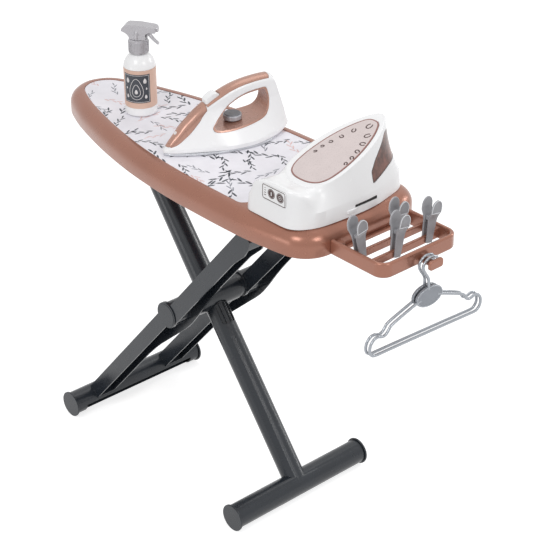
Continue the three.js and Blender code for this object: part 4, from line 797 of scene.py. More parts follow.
def board_outline(inset=0.0):
    """The board from above: the nose, the swelling sides and the round corners at the rack's end."""
    side = [(reach * (NOSE_REACH if reach < 0 else SKIRT_END), -half * BOARD_HALF) for reach, half in OUTLINE_SHARES]
    curve = through([(side[1][0], -side[1][1])] + side, 140)
    kept = curve[curve[:, 1] < -NOSE_FLAT]
    corner = arc((SKIRT_END - CORNER_RADIUS, side[-1][1] + CORNER_RISE), CORNER_RADIUS, CORNER_START, 0, 16)
    near = np.vstack([[(-NOSE_REACH, 0.0)], kept, corner])
    far = near[:0:-1] * (1, -1)
    return moved_in(np.vstack([near, far]), inset) + (SHIFT, 0)


def print_outline(grow):
    """The printed sheet from above: it follows the shoulder and ends square before the station."""
    edge = board_outline(SHOULDER[0] + RIM_WIDTH - grow)
    limit = PRINT_END - PRINT_CORNER + SHIFT
    edge = edge[edge[:, 0] < limit]
    half = edge[:, 1].max()
    near = arc((limit, PRINT_CORNER - half), PRINT_CORNER + grow, -90, 0, 10)
    far = arc((limit, half - PRINT_CORNER), PRINT_CORNER + grow, 0, 90, 10)
    return np.vstack([edge[edge[:, 1] <= 0], near, far, edge[edge[:, 1] > 0]])


def shoulder_levels(wall, top, steps):
    """The rounded shoulder as (inset, height), up to its top."""
    levels = []
    for step in range(steps + 1):
        turn = math.radians(90 * step / steps)
        inward = (SHOULDER[0] - wall) * (1 - math.cos(turn))
        levels.append((wall + inward, top - SHOULDER[1] * (1 - math.sin(turn))))
    return levels


def board_skin():
    """The shell as one closed skin: skirt, shoulder, rim, recess, and the hollow underneath."""
    outer = [(0.9, SKIRT_BOTTOM), (0.25, SKIRT_BOTTOM + 0.3), (0.0, SKIRT_BOTTOM + 1.0)]
    outer += shoulder_levels(0.0, RIM_TOP, 16)
    inner = [(2.1, SKIRT_BOTTOM), (2.75, SKIRT_BOTTOM + 0.3), (SKIRT_WALL, SKIRT_BOTTOM + 1.0)]
    inner += shoulder_levels(SKIRT_WALL, SKIN_UNDERSIDE, 10)
    levels = inner[::-1] + outer
    corners, faces = lofted([at_height(board_outline(inset), z) for inset, z in levels], caps=False)
    count = len(board_outline())
    faces.append(tuple(range(count)))
    recess = print_outline(0.3)
    wall, wall_faces = lofted([at_height(recess, RIM_TOP), at_height(recess, PRINT_FLOOR)], caps=False)
    wall_faces.append(tuple(range(len(recess), 2 * len(recess))))
    shell = built("board_shell_moulding", joined((corners, faces), (wall, wall_faces)))
    with opened(shell.data) as working:
        open_edges = [edge for edge in working.edges if edge.is_boundary]
        bmesh.ops.triangle_fill(working, use_beauty=True, edges=open_edges, normal=(0, 0, 1))
        bmesh.ops.recalc_face_normals(working, faces=working.faces)
    return shell


def half_width(x, inset):
    """How far the board reaches across at x, moved in by the inset."""
    edge = board_outline(inset)
    near = edge[edge[:, 1] < 0]
    return -float(np.interp(x, near[:, 0], near[:, 1]))


RIB_THICKNESS, RIB_HEIGHT = 2.4, 9.0
RIB_COUNT = 7
RIBS_START, RIB_SPACING = 151.618, 62.0
RIB_END_GAP = 7.5
RIB_GAPS = {0: [-47, -24, 24, 47], 6: [-40, 40]}
NOSE_RIB_MIDDLE, NOSE_RIB_LENGTH = -320.3, 41.4
BOSS_RADIUS = 6.0
BOSS_ENDS = (241.0, 256.0)
BOSS_SIDES, BOSS_HEIGHT = (-60.0, 62.0), 515.0


def rib_places():
    """Middle, turn and length of each rib under the skin, cut back round the brackets."""
    height = SKIN_UNDERSIDE - RIB_HEIGHT / 2
    places, turns, reaches = [], [], []
    for i in range(RIB_COUNT):
        x = RIBS_START - RIB_SPACING * (i + 0.5)
        half = half_width(x, RIB_END_GAP)
        ends = [-half, *RIB_GAPS.get(i, []), half]
        for low, high in zip(ends[::2], ends[1::2]):
            places.append((x, (low + high) / 2, height))
            turns.append(0.0)
            reaches.append((high - low) * MM)
    places.append((NOSE_RIB_MIDDLE, 0, height))
    turns.append(math.pi / 2)
    reaches.append(NOSE_RIB_LENGTH * MM)
    return places, turns, reaches


class TOY_OT_board(bpy.types.Operator):
    """Make the board's shell and the ribs and screw bosses under it"""
    bl_idname = "toy.board"
    bl_label = "Board shell"

    def execute(self, context):
        pearl = finish("rose gold pearl")
        completed(board_skin(), pearl, "board", "rose_gold_shell", "board_shell", angle=40, level=False)
        places, turns, reaches = rib_places()
        ribs = points_with("board_ribs", places, turn=turns, reach=reaches)
        block_pattern().used_on(ribs, Thickness=RIB_THICKNESS * MM, Height=RIB_HEIGHT * MM, Material=pearl)
        handed_over(ribs, "board", "rose_gold_shell")
        boss = prism(circle((0, 0), BOSS_RADIUS), *BOSS_ENDS, "X")
        bosses = joined(*[placed(boss, move=(0, y, BOSS_HEIGHT)) for y in BOSS_SIDES])
        completed(built("board_screw_bosses", bosses), pearl, "board", "rose_gold_shell")
        return {"FINISHED"}


# The printed ironing surface

SPRIG_STEM = 0.3
SPRIG_BEND = 7.0
LEAF_LENGTH, LEAF_WIDTH = 13.0, 3.1
SPRIG_SEED = 11

# Each ink: the draws out of a hundred that choose it, its sprigs' length and width, and how far the leaves open

INKS = {
    "dark": (0, 62, 1.0, 1.0, 0.44),
    "grey": (62, 84, 1.1, 0.8, 0.35),
    "blush": (84, 100, 0.95, 0.8, 0.4),
}


def clipped(piece, outline):
    """Cuts a flat piece off at a convex outline and closes what was cut."""
    with opened(piece.data) as working:
        for first, second in zip(outline, np.roll(outline, -1, axis=0)):
            along = second - first
            length = np.linalg.norm(along)
            if length < 0.05:
                continue
            outward = (along[1] / length, -along[0] / length, 0)
            geometry = list(working.verts) + list(working.edges) + list(working.faces)
            bmesh.ops.bisect_plane(working, geom=geometry, dist=1e-7, plane_co=(first[0] * MM, first[1] * MM, 0),
                                   plane_no=outward, clear_outer=True)
        bmesh.ops.holes_fill(working, edges=[edge for edge in working.edges if edge.is_boundary], sides=0)
        bmesh.ops.recalc_face_normals(working, faces=working.faces)
    return piece


class TOY_OT_print(bpy.types.Operator):
    """Make the printed sheet in the board's recess, with its strewn sprigs"""
    bl_idname = "toy.print"
    bl_label = "Printed ironing surface"

    def execute(self, context):
        sizes = context.scene.toy_sizes
        sheet = built("printed_sheet", prism(print_outline(0), PRINT_FLOOR, PRINT_TOP, edge=0.35))
        completed(sheet, finish("print ground"), "board", "printed_sheet", "printed_ironing_surface")
        pattern = sprig_pattern()
        ground = at_height(print_outline(-1), PRINT_TOP + 0.02)
        for ink, (low, high, long, wide, opening) in INKS.items():
            sprigs = built(f"print_sprigs_{ink}", (ground, [tuple(range(len(ground)))]))
            pattern.used_on(
                sprigs, Spacing=sizes.sprig_spacing, Length=sizes.sprig_length * long, Bend=SPRIG_BEND * MM * wide,
                Leaves=sizes.leaf_count, Leaf_Length=LEAF_LENGTH * MM * long, Leaf_Width=LEAF_WIDTH * MM * wide,
                Stem_Width=SPRIG_STEM * MM, Opening=opening, From=low, To=high, Seed=SPRIG_SEED,
                Material=finish(f"{ink} ink"))
            handed_over(clipped(sprigs, print_outline(-0.6)), "board", "printed_sheet")
        return {"FINISHED"}


# The peg rack

RACK_END = 355.5
RACK_NEAR, RACK_FAR = -67.0, 77.0
RACK_LOW, RACK_HIGH = 505.0, 527.0
RACK_WALL = 6.5
RACK_START = 257.25
SLATS = (292.8, 320.2)
SLAT_BOTTOM, SLAT_TOP = 506.7, 518.0
SLAT_HALF = 2.5
RACK_CORNER = 18.0
KNOB = (7.0, 511.5)
KNOB_RADIUS = 5.0
KNOB_PLATE = (25.0, 13.0)


def rack_path():
    """The middle line of the tray's rim, from the board round the end and back."""
    inset = RACK_WALL / 2
    near, far, end = RACK_NEAR + inset, RACK_FAR - inset, RACK_END - inset
    bend = RACK_CORNER - inset
    corner_near = arc((end - bend, near + bend), bend, -90, 0, 10)
    corner_far = arc((end - bend, far - bend), bend, 0, 90, 10)
    return np.vstack([[(RACK_START, near)], corner_near, corner_far, [(RACK_START, far)]])


def block(low, high, edge=0.8):
    """A block between two corners, with rounded upright edges and rims."""
    width, depth = high[0] - low[0], high[1] - low[1]
    middle = ((high[0] + low[0]) / 2, (high[1] + low[1]) / 2)
    return prism(rounded(width, depth, edge, 2, middle), low[2], high[2], edge=edge * 0.8, steps=2)


class TOY_OT_rack(bpy.types.Operator):
    """Make the peg rack, its slats, its knob and the screws that hold it"""
    bl_idname = "toy.rack"
    bl_label = "Peg rack"

    def execute(self, context):
        section = rounded(RACK_WALL, RACK_HIGH - RACK_LOW, 3.1, 6)
        path = at_height(rack_path(), (RACK_LOW + RACK_HIGH) / 2)
        near, far = RACK_NEAR + RACK_WALL - 1, RACK_FAR - RACK_WALL + 1
        parts = [swept(path, section, (0, 0, 1))]
        parts.append(block((RACK_START, near, RACK_LOW + 0.5), (RACK_START + 5, far, RACK_LOW + 5)))
        for y in (near, far - 11):
            parts.append(block((RACK_START, y, RACK_LOW + 1.5), (RACK_START + 11, y + 11, RACK_HIGH - 4), 1.2))
        for x in SLATS:
            parts.append(block((x - SLAT_HALF, near, SLAT_BOTTOM), (x + SLAT_HALF, far, SLAT_TOP), 1.7))
        parts.append(prism(circle(KNOB, KNOB_RADIUS), RACK_END - 3, 378, "X"))
        parts.append(prism(rounded(*KNOB_PLATE, 4, 5, (KNOB[0], KNOB[1] + 2)), 376, 381, "X", edge=1.2))
        rack = built("peg_rack_moulding", joined(*parts))
        completed(rack, finish("rose gold pearl"), "board", "rose_gold_shell", "peg_rack", angle=40)
        for node in ("rack_screw_near", "rack_screw_far"):
            dressed(node, finish("steel"), "steel", 0.3 * MM)
        return {"FINISHED"}


# The legs

HUB_MIDDLE = (-77.0, 272.0)
HUB_OUT = 89.9
HUB_FACE = [(0.01, 0), (18.6, 0), (18.6, 0.3), (18.1, 0.7), (0.01, 0.7)]


class TOY_OT_legs(bpy.types.Operator):
    """Finish both legs, their foot caps, the hinge bracket and the catches"""
    bl_idname = "toy.legs"
    bl_label = "Folding legs"

    def execute(self, context):
        edge = context.scene.toy_sizes.edge
        satin = finish("anthracite satin")
        for node in ("inner_leg_upper", "inner_leg_lower", "outer_leg_lower_frame", "outer_leg_upper_rail_near",
                     "outer_leg_upper_rail_far", "inner_foot_cap_near", "inner_foot_cap_far", "outer_foot_cap_near",
                     "outer_foot_cap_far", "inner_leg_bracket", "leg_catch_near", "leg_catch_far"):
            dressed(node, satin, "anthracite_legs", edge)
        for node in ("inner_leg_hinge_pin", "outer_leg_top_bar", "leg_pivot_axle"):
            dressed(node, finish("steel"), "steel", edge / 2)
        face = placed(turned(HUB_FACE, 64), 90, about="X")
        for name, side, turn in (("near", -1, 0), ("far", 1, 180)):
            disc = placed(face, turn, (HUB_MIDDLE[0], side * HUB_OUT, HUB_MIDDLE[1]))
            completed(built(f"leg_hub_face_{name}", disc), satin, "outer_leg", "anthracite_legs")
        return {"FINISHED"}


# The steam station

STATION_LEFT, STATION_RIGHT = 120.5, 241.4
STATION_HALF = 107.5
STATION_FLOOR = 540.8
STATION_CORNER = 18.0
STATION_CREASE = 21.0
CREASE_INSET = 1.8
STATION_HUMP = 54.5
PLATE_CENTRE, PLATE_HALF = 185.0, 37.0
PLATE_ASIDE = 1.5
PLATE_RIM, PLATE_LIP = 7.5, 4.9
LIP_HEIGHT = 1.4
BASE_INSET, BASE_LOW, BASE_HIGH = 3.6, 541.1, 543.8
FOOT_POCKET = 545.0
WINDOW_WALL = 2.6
WINDOW_GAP = 0.35
WINDOW_SHADE_BAND = 1.3
PLATE_NEAR, PLATE_FAR = -62.0, 86.0
PLATE_TIP_START = 66.0
PLATE_LOW = 48.5
PLATE_SLOPE = 0.317
STATION_MIDDLE = np.array([185.0, -8.0])
STATION_SIDE_SHARES = [
    (0.177, -1), (0.479, -0.977), (0.727, -0.87), (0.91, -0.651), (0.972, -0.326), (1, 0), (0.965, 0.298),
    (0.855, 0.554), (0.718, 0.806), (0.479, 0.958), (0.177, 1),
]
SOLE_SHARES = [
    (0, 0), (0.42, 0.012), (0.74, 0.055), (0.93, 0.14), (1, 0.27), (0.99, 0.4), (0.93, 0.53), (0.81, 0.66),
    (0.64, 0.78), (0.43, 0.88), (0.22, 0.96), (0.08, 0.99), (0, 1),
]
HUMP_SHARES = [
    (0, 0.05), (0.05, 0.37), (0.09, 0.6), (0.155, 0.76), (0.245, 0.89), (0.345, 0.96), (0.45, 1), (0.7, 1),
    (0.785, 0.94), (0.865, 0.8), (0.914, 0.55), (0.96, 0.2), (1, 0),
]
HUMP_SIDE_SHARES = [(0.6, 0.012), (0.85, 0.022), (0.96, 0.06), (1, 0.15), (1, 0.5)]
FLANK_SHARES = [0.2, 0.4, 0.6, 0.78, 0.9]


def station_ring(inset):
    """The station's foot from above: a sole-shaped right side and a square left one."""
    side = [(PLATE_CENTRE + across * (STATION_RIGHT - PLATE_CENTRE), along * STATION_HALF)
            for across, along in STATION_SIDE_SHARES]
    right = through(side, 110)
    x, y = STATION_LEFT + STATION_CORNER, STATION_HALF - STATION_CORNER
    far_edge = [(side[0][0] + (x - side[0][0]) * share, STATION_HALF) for share in (0.2, 0.4, 0.6, 0.8)]
    near_edge = [(px, -py) for px, py in reversed(far_edge)]
    left = [(STATION_LEFT, share * y) for share in np.linspace(0.92, -0.92, 24)]
    ring = np.vstack([right, far_edge, arc((x, y), STATION_CORNER, 90, 180, 12), left,
                      arc((x, -y), STATION_CORNER, 180, 270, 12), near_edge])
    return moved_in(ring, inset)


def sole_ring(centre, half, heel, tip, grow):
    """The outline of an iron's sole, from heel to tip."""
    right = [(centre + across * half, heel + (tip - heel) * along) for across, along in SOLE_SHARES]
    left = [(2 * centre - x, y) for x, y in right[-2:0:-1]]
    return moved_in(through(right + left, 120, closed=True), -grow)


def plate_height(y):
    """How high the slanted plane of the rest plate is at y."""
    return STATION_FLOOR + PLATE_LOW + (y - PLATE_NEAR) * PLATE_SLOPE


def crossing(ring, target):
    """Where the ray from the station's middle towards a point crosses a closed ring."""
    ray = target - STATION_MIDDLE
    ray = ray / np.linalg.norm(ray)
    start = ring - STATION_MIDDLE
    end = np.roll(start, -1, axis=0)
    before = ray[0] * start[:, 1] - ray[1] * start[:, 0]
    after = ray[0] * end[:, 1] - ray[1] * end[:, 0]
    hit = np.flatnonzero((before <= 0) & (after > 0) & (start @ ray > 0))
    if not len(hit):
        return np.array(target, float)
    first = hit[0]
    share = before[first] / (before[first] - after[first])
    return start[first] + (end[first] - start[first]) * share + STATION_MIDDLE


def station_line(foot, crease_ring, rim_ring):
    """One upright line of the station's skin, from the crease above its foot smoothly up to the rim."""
    crease = crossing(crease_ring, foot)
    top = crossing(rim_ring, foot)
    crease_z = STATION_FLOOR + STATION_CREASE
    top_z = plate_height(top[1])
    share = 0.0
    if foot[1] < 0:
        share = read(HUMP_SHARES, (foot[0] - STATION_LEFT) / (STATION_RIGHT - STATION_LEFT))
        share *= smoothstep(-foot[1], 0, 12)
    hump_z = crease_z + (STATION_HUMP - STATION_CREASE) * share
    standing = smoothstep(share, 0, 0.9)
    rise = [(*crease, crease_z)]
    for i, (height, inward) in enumerate(HUMP_SIDE_SHARES):
        flank = FLANK_SHARES[i]
        slope = crease + (top - crease) * (1 - (1 - flank) ** 1.3)
        side = crease + (top - crease) * inward
        point = slope + (side - slope) * standing
        slope_z = crease_z + (top_z - crease_z) * flank
        last = i == len(HUMP_SIDE_SHARES) - 1
        side_z = (hump_z + top_z) / 2 if last else crease_z + (hump_z - crease_z) * height
        rise.append((*point, slope_z + (side_z - slope_z) * standing))
    rise.append((*top, top_z))
    return through(rise, 30)


def station_skin(wall=0.0, recess=True):
    """The station's body as rings from its foot to the recess of the rest plate."""
    crease_ring = station_ring(wall + CREASE_INSET)
    rim = sole_ring(PLATE_CENTRE, PLATE_HALF, PLATE_NEAR, PLATE_FAR, PLATE_RIM - wall)
    lip = sole_ring(PLATE_CENTRE, PLATE_HALF, PLATE_NEAR, PLATE_FAR, PLATE_LIP - wall)
    rows = []
    for foot in station_ring(wall):
        rise = station_line(foot, crease_ring, rim)
        rise[:, 2] -= wall
        edge = crossing(lip, foot)
        line = [(*foot, STATION_FLOOR if wall == 0 else STATION_FLOOR - 1), *rise]
        line.append((*edge, plate_height(edge[1]) + (LIP_HEIGHT if wall == 0 else -wall)))
        if recess:
            out = crossing(slant_plan(0.9), foot)
            inn = crossing(slant_plan(0.3), foot)
            line.append((*out, plate_height(out[1]) + LIP_HEIGHT))
            line.append((*inn, plate_height(inn[1]) + LIP_HEIGHT - 0.3))
            line.append((*inn, plate_height(inn[1]) + 0.21))
        rows.append(line)
    levels = [np.array([row[level] for row in rows]) + (SHIFT, 0, 0) for level in range(len(rows[0]))]
    return lofted(levels)


@cache
def slant_plan(grow):
    """The rest plate's outline seen straight from above."""
    ring = sole_ring(PLATE_CENTRE + PLATE_ASIDE, PLATE_HALF - 1.6, PLATE_NEAR, PLATE_FAR, grow)
    along = (ring[:, 1] - PLATE_NEAR) / (PLATE_FAR - PLATE_NEAR)
    ring[:, 0] += 3.2 * np.clip((ring[:, 0] - PLATE_CENTRE) / PLATE_HALF, 0, 1) * np.clip(1 - along, 0, 1)
    past = np.maximum(ring[:, 1] - PLATE_TIP_START, 0.0)
    ring[:, 1] -= past * past / (2.2 * (PLATE_FAR - PLATE_TIP_START))
    return ring


def on_slant(outline, levels):
    """Rings of the rest plate's slanted sheet; each level is (inset, height square to the slope)."""
    lean = math.atan(PLATE_SLOPE)
    rings = []
    for inset, height in levels:
        ring = moved_in(outline, inset)
        z = np.array([plate_height(y) for y in ring[:, 1]])
        rings.append(np.column_stack([ring[:, 0] + SHIFT, ring[:, 1] - height * math.sin(lean),
                                      z + height * math.cos(lean)]))
    return rings


def window_sweep(grow):
    """The block whose common part with the station's skin is the tank window."""
    outline = [(28 - grow, 31 - grow), (50, 36 - grow), (72, 42 - grow), (125, 48 - grow), (125, 84 + grow),
               (73 - grow, 84 + grow), (58 - grow, 73 + grow), (39 - grow, 59 + grow), (28 - grow, 47 + grow)]
    ring = eased(outline, 3.0) + (0, STATION_FLOOR)
    return prism(ring, STATION_LEFT - 5 + SHIFT, STATION_RIGHT + 5 + SHIFT, "X")


PANEL_MIDDLE = (188.0, 579.8)
PANEL_SIZE = (46.0, 22.0)
PANEL_CORNER = 3.5
PANEL_FACE = -105.7
BUTTON_RADIUS = 7.0
BUTTON_OFFSETS = (-4.8, 12.4)
MARKS_FACE = PANEL_FACE - 0.05
SLIT = ((237, -10.5, 550.6), (249, 31.5, 555.0))
SLIT_SHADE = ((240, -9.8, 550.9), (244.6, 30.8, 554.7))
LATCH_TAB = ((243, -25, 545.5), (246.9, -9, 550.5))

# The hoops on the rest plate, in two rows that meet at its tip; each is (across, along, size)

STEAM_MARKS = [
    (-25.0, 53.6, 1.5), (-24.2, 66.6, 1.6), (-20.9, 79.9, 1.8), (-15.7, 95.6, 2.1), (-9.9, 113.9, 2.4),
    (2.8, 131.6, 3.2), (15.6, 115.0, 2.9), (22.4, 98.7, 2.6), (27.4, 83.0, 2.3), (30.6, 69.3, 2.0),
    (31.9, 56.3, 1.8),
]
STEAM_MIDDLE = (2.8, 91.6)
HOOP_LINE, HOOP_GAP = 0.95, 0.9
HOOP_SIZE = 1.15
HOOP_LIFT = 1.68


def panel_outline(grow):
    """The control panel's label seen from the front."""
    return rounded(PANEL_SIZE[0] + 2 * grow, PANEL_SIZE[1] + 2 * grow, PANEL_CORNER + grow, 6, PANEL_MIDDLE)


def upright_line(outline, y, section):
    """A closed line with the given section, drawn on the panel's upright face."""
    path = np.column_stack([outline[:, 0], np.full(len(outline), y), outline[:, 1]])
    return swept(path, section, (0, 1, 0), closed=True)


class TOY_OT_station(bpy.types.Operator):
    """Make the steam station's housing, base, rest plate, control panel and tank window"""
    bl_idname = "toy.station"
    bl_label = "Steam station"

    def execute(self, context):
        white = finish("white gloss")
        self.housing(white)
        self.window()
        # A dark block behind the slit: painted shade inside it
        completed(built("station_vent_shade", block(*SLIT_SHADE, 0.4)), finish("vent shade"), "board", "white_plastic")
        completed(built("station_latch_tab", block(*LATCH_TAB, 1.0)), white, "board", "white_plastic")
        self.rest_plate()
        self.steam_marks()
        self.panel(white)
        base = prism(moved_in(station_ring(0), BASE_INSET) + (SHIFT, 0), BASE_LOW, BASE_HIGH, edge=0.4)
        completed(built("station_base_moulding", base), white, "board", "white_plastic", "station_base_plate")
        return {"FINISHED"}

    def housing(self, white):
        """The outer skin with its hollow foot, window opening, slit and the panel's seat."""
        housing = built("station_housing_moulding", station_skin())
        pocket = prism(moved_in(station_ring(0), 3) + (SHIFT, 0), STATION_FLOOR - 1, FOOT_POCKET)
        combined(housing, pocket, "DIFFERENCE")
        opening = built("opening", window_sweep(WINDOW_GAP))
        combined(opening, station_skin(WINDOW_WALL, recess=False), "DIFFERENCE")
        combined(housing, opening, "DIFFERENCE")
        combined(housing, block(*SLIT, 0.6), "DIFFERENCE")
        combined(housing, prism(panel_outline(0.3), PANEL_FACE - 4, PANEL_FACE + 1.9, "Y"), "DIFFERENCE")
        completed(housing, white, "board", "white_plastic", "station_housing", angle=20, level=False)

    def window(self):
        """The window's pane and a darker band of painted shade round its edge, both cut from one curved sheet."""
        window = built("station_window_pane", station_skin(WINDOW_GAP, recess=False))
        combined(window, station_skin(WINDOW_WALL - 0.3, recess=False), "DIFFERENCE")
        combined(window, window_sweep(0), "INTERSECT")
        # The darker band round the pane is painted shade along the window's edge
        rim = shown("station_window_rim", window.data.copy())
        combined(rim, window_sweep(-WINDOW_SHADE_BAND), "DIFFERENCE")
        combined(window, window_sweep(-WINDOW_SHADE_BAND), "INTERSECT")
        completed(window, finish("smoke window"), "board", "smoke_window", "station_tank_window", angle=30)
        completed(rim, finish("window rim"), "board", "smoke_window", angle=30)

    def rest_plate(self):
        """The sticker, with a darker border round its flat face."""
        rings = on_slant(slant_plan(0), [(0, 0.5), (0, 1.4), (0.35, 1.7), (1.9, 1.7), (2.05, 1.62)])
        plate = built("station_rest_sticker", lofted(rings))
        painted(plate, finish("blush border"), finish("blush sticker"))
        widest = max(plate.data.polygons, key=lambda face: (face.normal.z > 0) * face.area)
        widest.material_index = 1
        handed_over(shaded(plate, 30), "board", "blush_sticker", "station_rest_plate")

    def steam_marks(self):
        """Drop-shaped hoops that lie on the rest plate."""
        places = [(x, along, 0) for x, along, size in STEAM_MARKS]
        turns = [math.atan2(along - STEAM_MIDDLE[1], x - STEAM_MIDDLE[0]) for x, along, size in STEAM_MARKS]
        sizes = [HOOP_SIZE * size * MM for x, along, size in STEAM_MARKS]
        hoops = points_with("station_steam_marks", places, turn=turns, wide=sizes)
        hoop_pattern().used_on(hoops, Line=HOOP_LINE * MM, Gap=HOOP_GAP, Material=finish("label ink"))
        lean = Matrix.Rotation(math.atan(PLATE_SLOPE), 4, "X")
        seat = Matrix.Translation(Vector((
            PLATE_CENTRE + PLATE_ASIDE + SHIFT, PLATE_NEAR, plate_height(PLATE_NEAR))) * MM)
        lift = Matrix.Translation(Vector((0, 0, HOOP_LIFT * MM)))
        hoops.data.transform(seat @ lean @ lift)
        handed_over(shaded(hoops, 40), "board", "blush_sticker")

    def panel(self, white):
        """The label with its border, two round buttons, their light signs and a stack of bars."""
        label = built("station_panel_label", prism(panel_outline(0), PANEL_FACE, PANEL_FACE + 1.6, "Y", edge=0.3))
        completed(label, white, "board", "white_plastic", "station_control_panel")
        x, z = PANEL_MIDDLE
        buttons = first, second = [(x + offset, z + 0.6) for offset in BUTTON_OFFSETS]
        marks = [upright_line(panel_outline(-0.9), MARKS_FACE, rounded(1.0, 0.3, 0.1, 2))]
        for middle in buttons:
            marks.append(prism(circle(middle, BUTTON_RADIUS), MARKS_FACE - 0.1, PANEL_FACE + 0.3, "Y", edge=0.1))
        for step in range(4):
            marks.append(prism(rounded(3.6 - 0.7 * step, 1.1, 0.3, 2, (x - 17.2, z - 4.6 + 3.4 * step)),
                               MARKS_FACE - 0.08, PANEL_FACE + 0.3, "Y"))
        completed(built("station_panel_marks", joined(*marks)), finish("label ink"), "board", "white_plastic")
        signs = [upright_line(circle(middle, radius), MARKS_FACE - 0.12, rounded(line, 0.16, 0.06, 2))
                 for middle, radius, line in ((second, 5.9, 0.35), (second, 2.8, 0.6), (first, 5.9, 0.35))]
        signs.append(prism(rounded(1.7, 5.4, 0.5, 3, first), MARKS_FACE - 0.2, MARKS_FACE, "Y"))
        signs.append(prism(circle(second, 0.9, 12), MARKS_FACE - 0.2, MARKS_FACE, "Y"))
        completed(built("station_panel_signs", joined(*signs)), white, "board", "white_plastic")


# The iron, in its own place: the tip of its sole at the origin and Y towards its heel

IRON_SEAT = ((-73.0, -85.5, 540.3), -12.5)
IRON_LENGTH = 203.0
IRON_TOPS = [
    (0, 8), (2, 11), (5, 14), (12, 22), (20, 30.5), (30, 41.5), (40, 49.8), (52, 59.4), (63, 66.4), (74, 72.4),
    (85, 77.8), (102, 84.8), (119, 89.5), (140, 92.5), (161, 93.5), (172, 92.5), (177, 88), (184, 68), (192, 44),
    (199, 22), (203, 12),
]
IRON_HALF_WIDTHS = [
    (0, 1.5), (4, 6.5), (12, 12), (24, 18), (48, 27), (70, 35), (93, 41), (112, 42.5), (131, 41.5), (150, 36.5),
    (165, 30), (180, 22.5), (192, 15), (200, 8), (203, 4),
]
IRON_RIDGE_HALVES = [
    (0, 1.4), (5, 5.5), (20, 9.2), (40, 10.5), (63, 11.5), (90, 13.5), (176, 13.5), (192, 12), (200, 7), (203, 3.5),
]
IRON_BOTTOMS = [(0, 3.8), (172, 3.8), (186, 5.2), (200, 8), (203, 9)]
OPENING = [
    (71, 35.2), (73.2, 30.8), (82.1, 29.1), (101.2, 29.2), (122.2, 31), (145, 34.2), (156.3, 38.3), (162.7, 47.2),
    (164.6, 59.4), (161.8, 71.7), (158.1, 76), (149.4, 75.9), (130.9, 74), (114.5, 69.2), (97.8, 60.2),
    (83.5, 49.1), (74.8, 40.4),
]
FRONT_COVER_SIDE = [(0, 4), (3.6, 5.2), (6.8, 9), (9.4, 15), (11.6, 23), (12.8, 33), (12.8, 46), (12.0, 60)]
FRONT_COVER_DEPTHS = [(0, 7), (6, 8.5), (14, 12), (24, 15), (36, 15), (50, 11), (66, 7.2)]
FRONT_COVER_END = 65.9
HANDLE_COVER_SIZE, HANDLE_COVER_MIDDLE = (29.0, 102.8), (0, 117.6)
HANDLE_COVER_DEPTH = 4.6
COVER_GAP = 0.3
BUTTON_SIDE = [
    (66.5, 64), (66.8, 72.0), (70, 75.2), (75, 78.6), (79, 80.6), (82, 81.0), (85.5, 80.0), (90, 77.4), (90, 68)]
BUTTON_SIZE, BUTTON_MIDDLE = (15.2, 23.5), (0, 78.25)
BUTTON_BOTTOM, BUTTON_DEPTH, WELL_DEPTH = 60, 4, 8.5
LINER_HALF = 1.2
NOZZLE_TIP, NOZZLE_TURN = (0, 20.4, 29.6), 45
NOZZLE_PROFILE = [(0.7, -2.5), (2.6, -2.5), (2.6, 1.2), (2.3, 1.6), (1.3, 1.6), (1.0, 1.3), (0.9, 0.4), (0.01, 0.4)]
DIAL_SEAT = (0, 112.5, 33)
DIAL_PROFILE = [
    (4, -8), (4, -0.01), (12.5, 0), (13.6, 1), (13.9, 6.6), (13.3, 7.6), (12.3, 7.7), (11.9, 8.7), (0.01, 8.7)]
DIAL_TOP = 7.72
SOLE_HALF, SOLE_HEEL, SOLE_TIP, SOLE_THICKNESS = 41.0, 172.0, 0.5, 3.5
SOLE_KEY = ((-4, 30, 3.0), (4, 130, 14))
KEY_ROOM = ((-4.3, 29.7, 3.0), (4.3, 130.3, 14.3))


def iron_section(along, grow):
    """One section across the iron: upright sides, hollow flanks and a rounded ridge."""
    top = read(IRON_TOPS, along) + grow
    half = read(IRON_HALF_WIDTHS, along) + grow
    ridge = min(read(IRON_RIDGE_HALVES, along) + grow, half)
    bottom = read(IRON_BOTTOMS, along) - grow
    height = top - bottom
    rounding = min(9, height * 0.4)
    flank_end = min(top - rounding - 0.5, 62)
    foot = min(10, bottom + height * 0.4)
    side = [(half - 0.8, bottom), (half - 0.2, bottom + min(0.3, height * 0.04)),
            (half, bottom + min(1.1, height * 0.1))]
    for step in range(17):
        rise = step / 16
        side.append((ridge + (half - ridge) * (1 - rise) ** 1.25, foot + (flank_end - foot) * rise))
    for step in range(10):
        turn = math.radians(90 * step / 10)
        side.append((ridge * math.cos(turn), top - rounding + rounding * math.sin(turn)))
    left = [(-x, z) for x, z in reversed(side)]
    return np.array([(x, along, z) for x, z in side + [(0, top)] + left])


def iron_form(grow):
    """The whole iron above its sole as one solid, without the hand's opening."""
    stations = np.concatenate([
        np.linspace(0, 12, 9), np.linspace(14, 165, 62), np.linspace(166, 180, 15),
        np.linspace(181.5, IRON_LENGTH, 15)])
    return lofted([iron_section(along, grow) for along in stations])


def opening_outline(inset):
    """The hand's opening seen from the side."""
    points = np.array(OPENING, float)
    low, high = points.min(axis=0), points.max(axis=0)
    middle, size = (low + high) / 2, high - low
    return through(middle + (points - middle) * (size - 2 * inset) / size, 102, closed=True, tension=0.4)


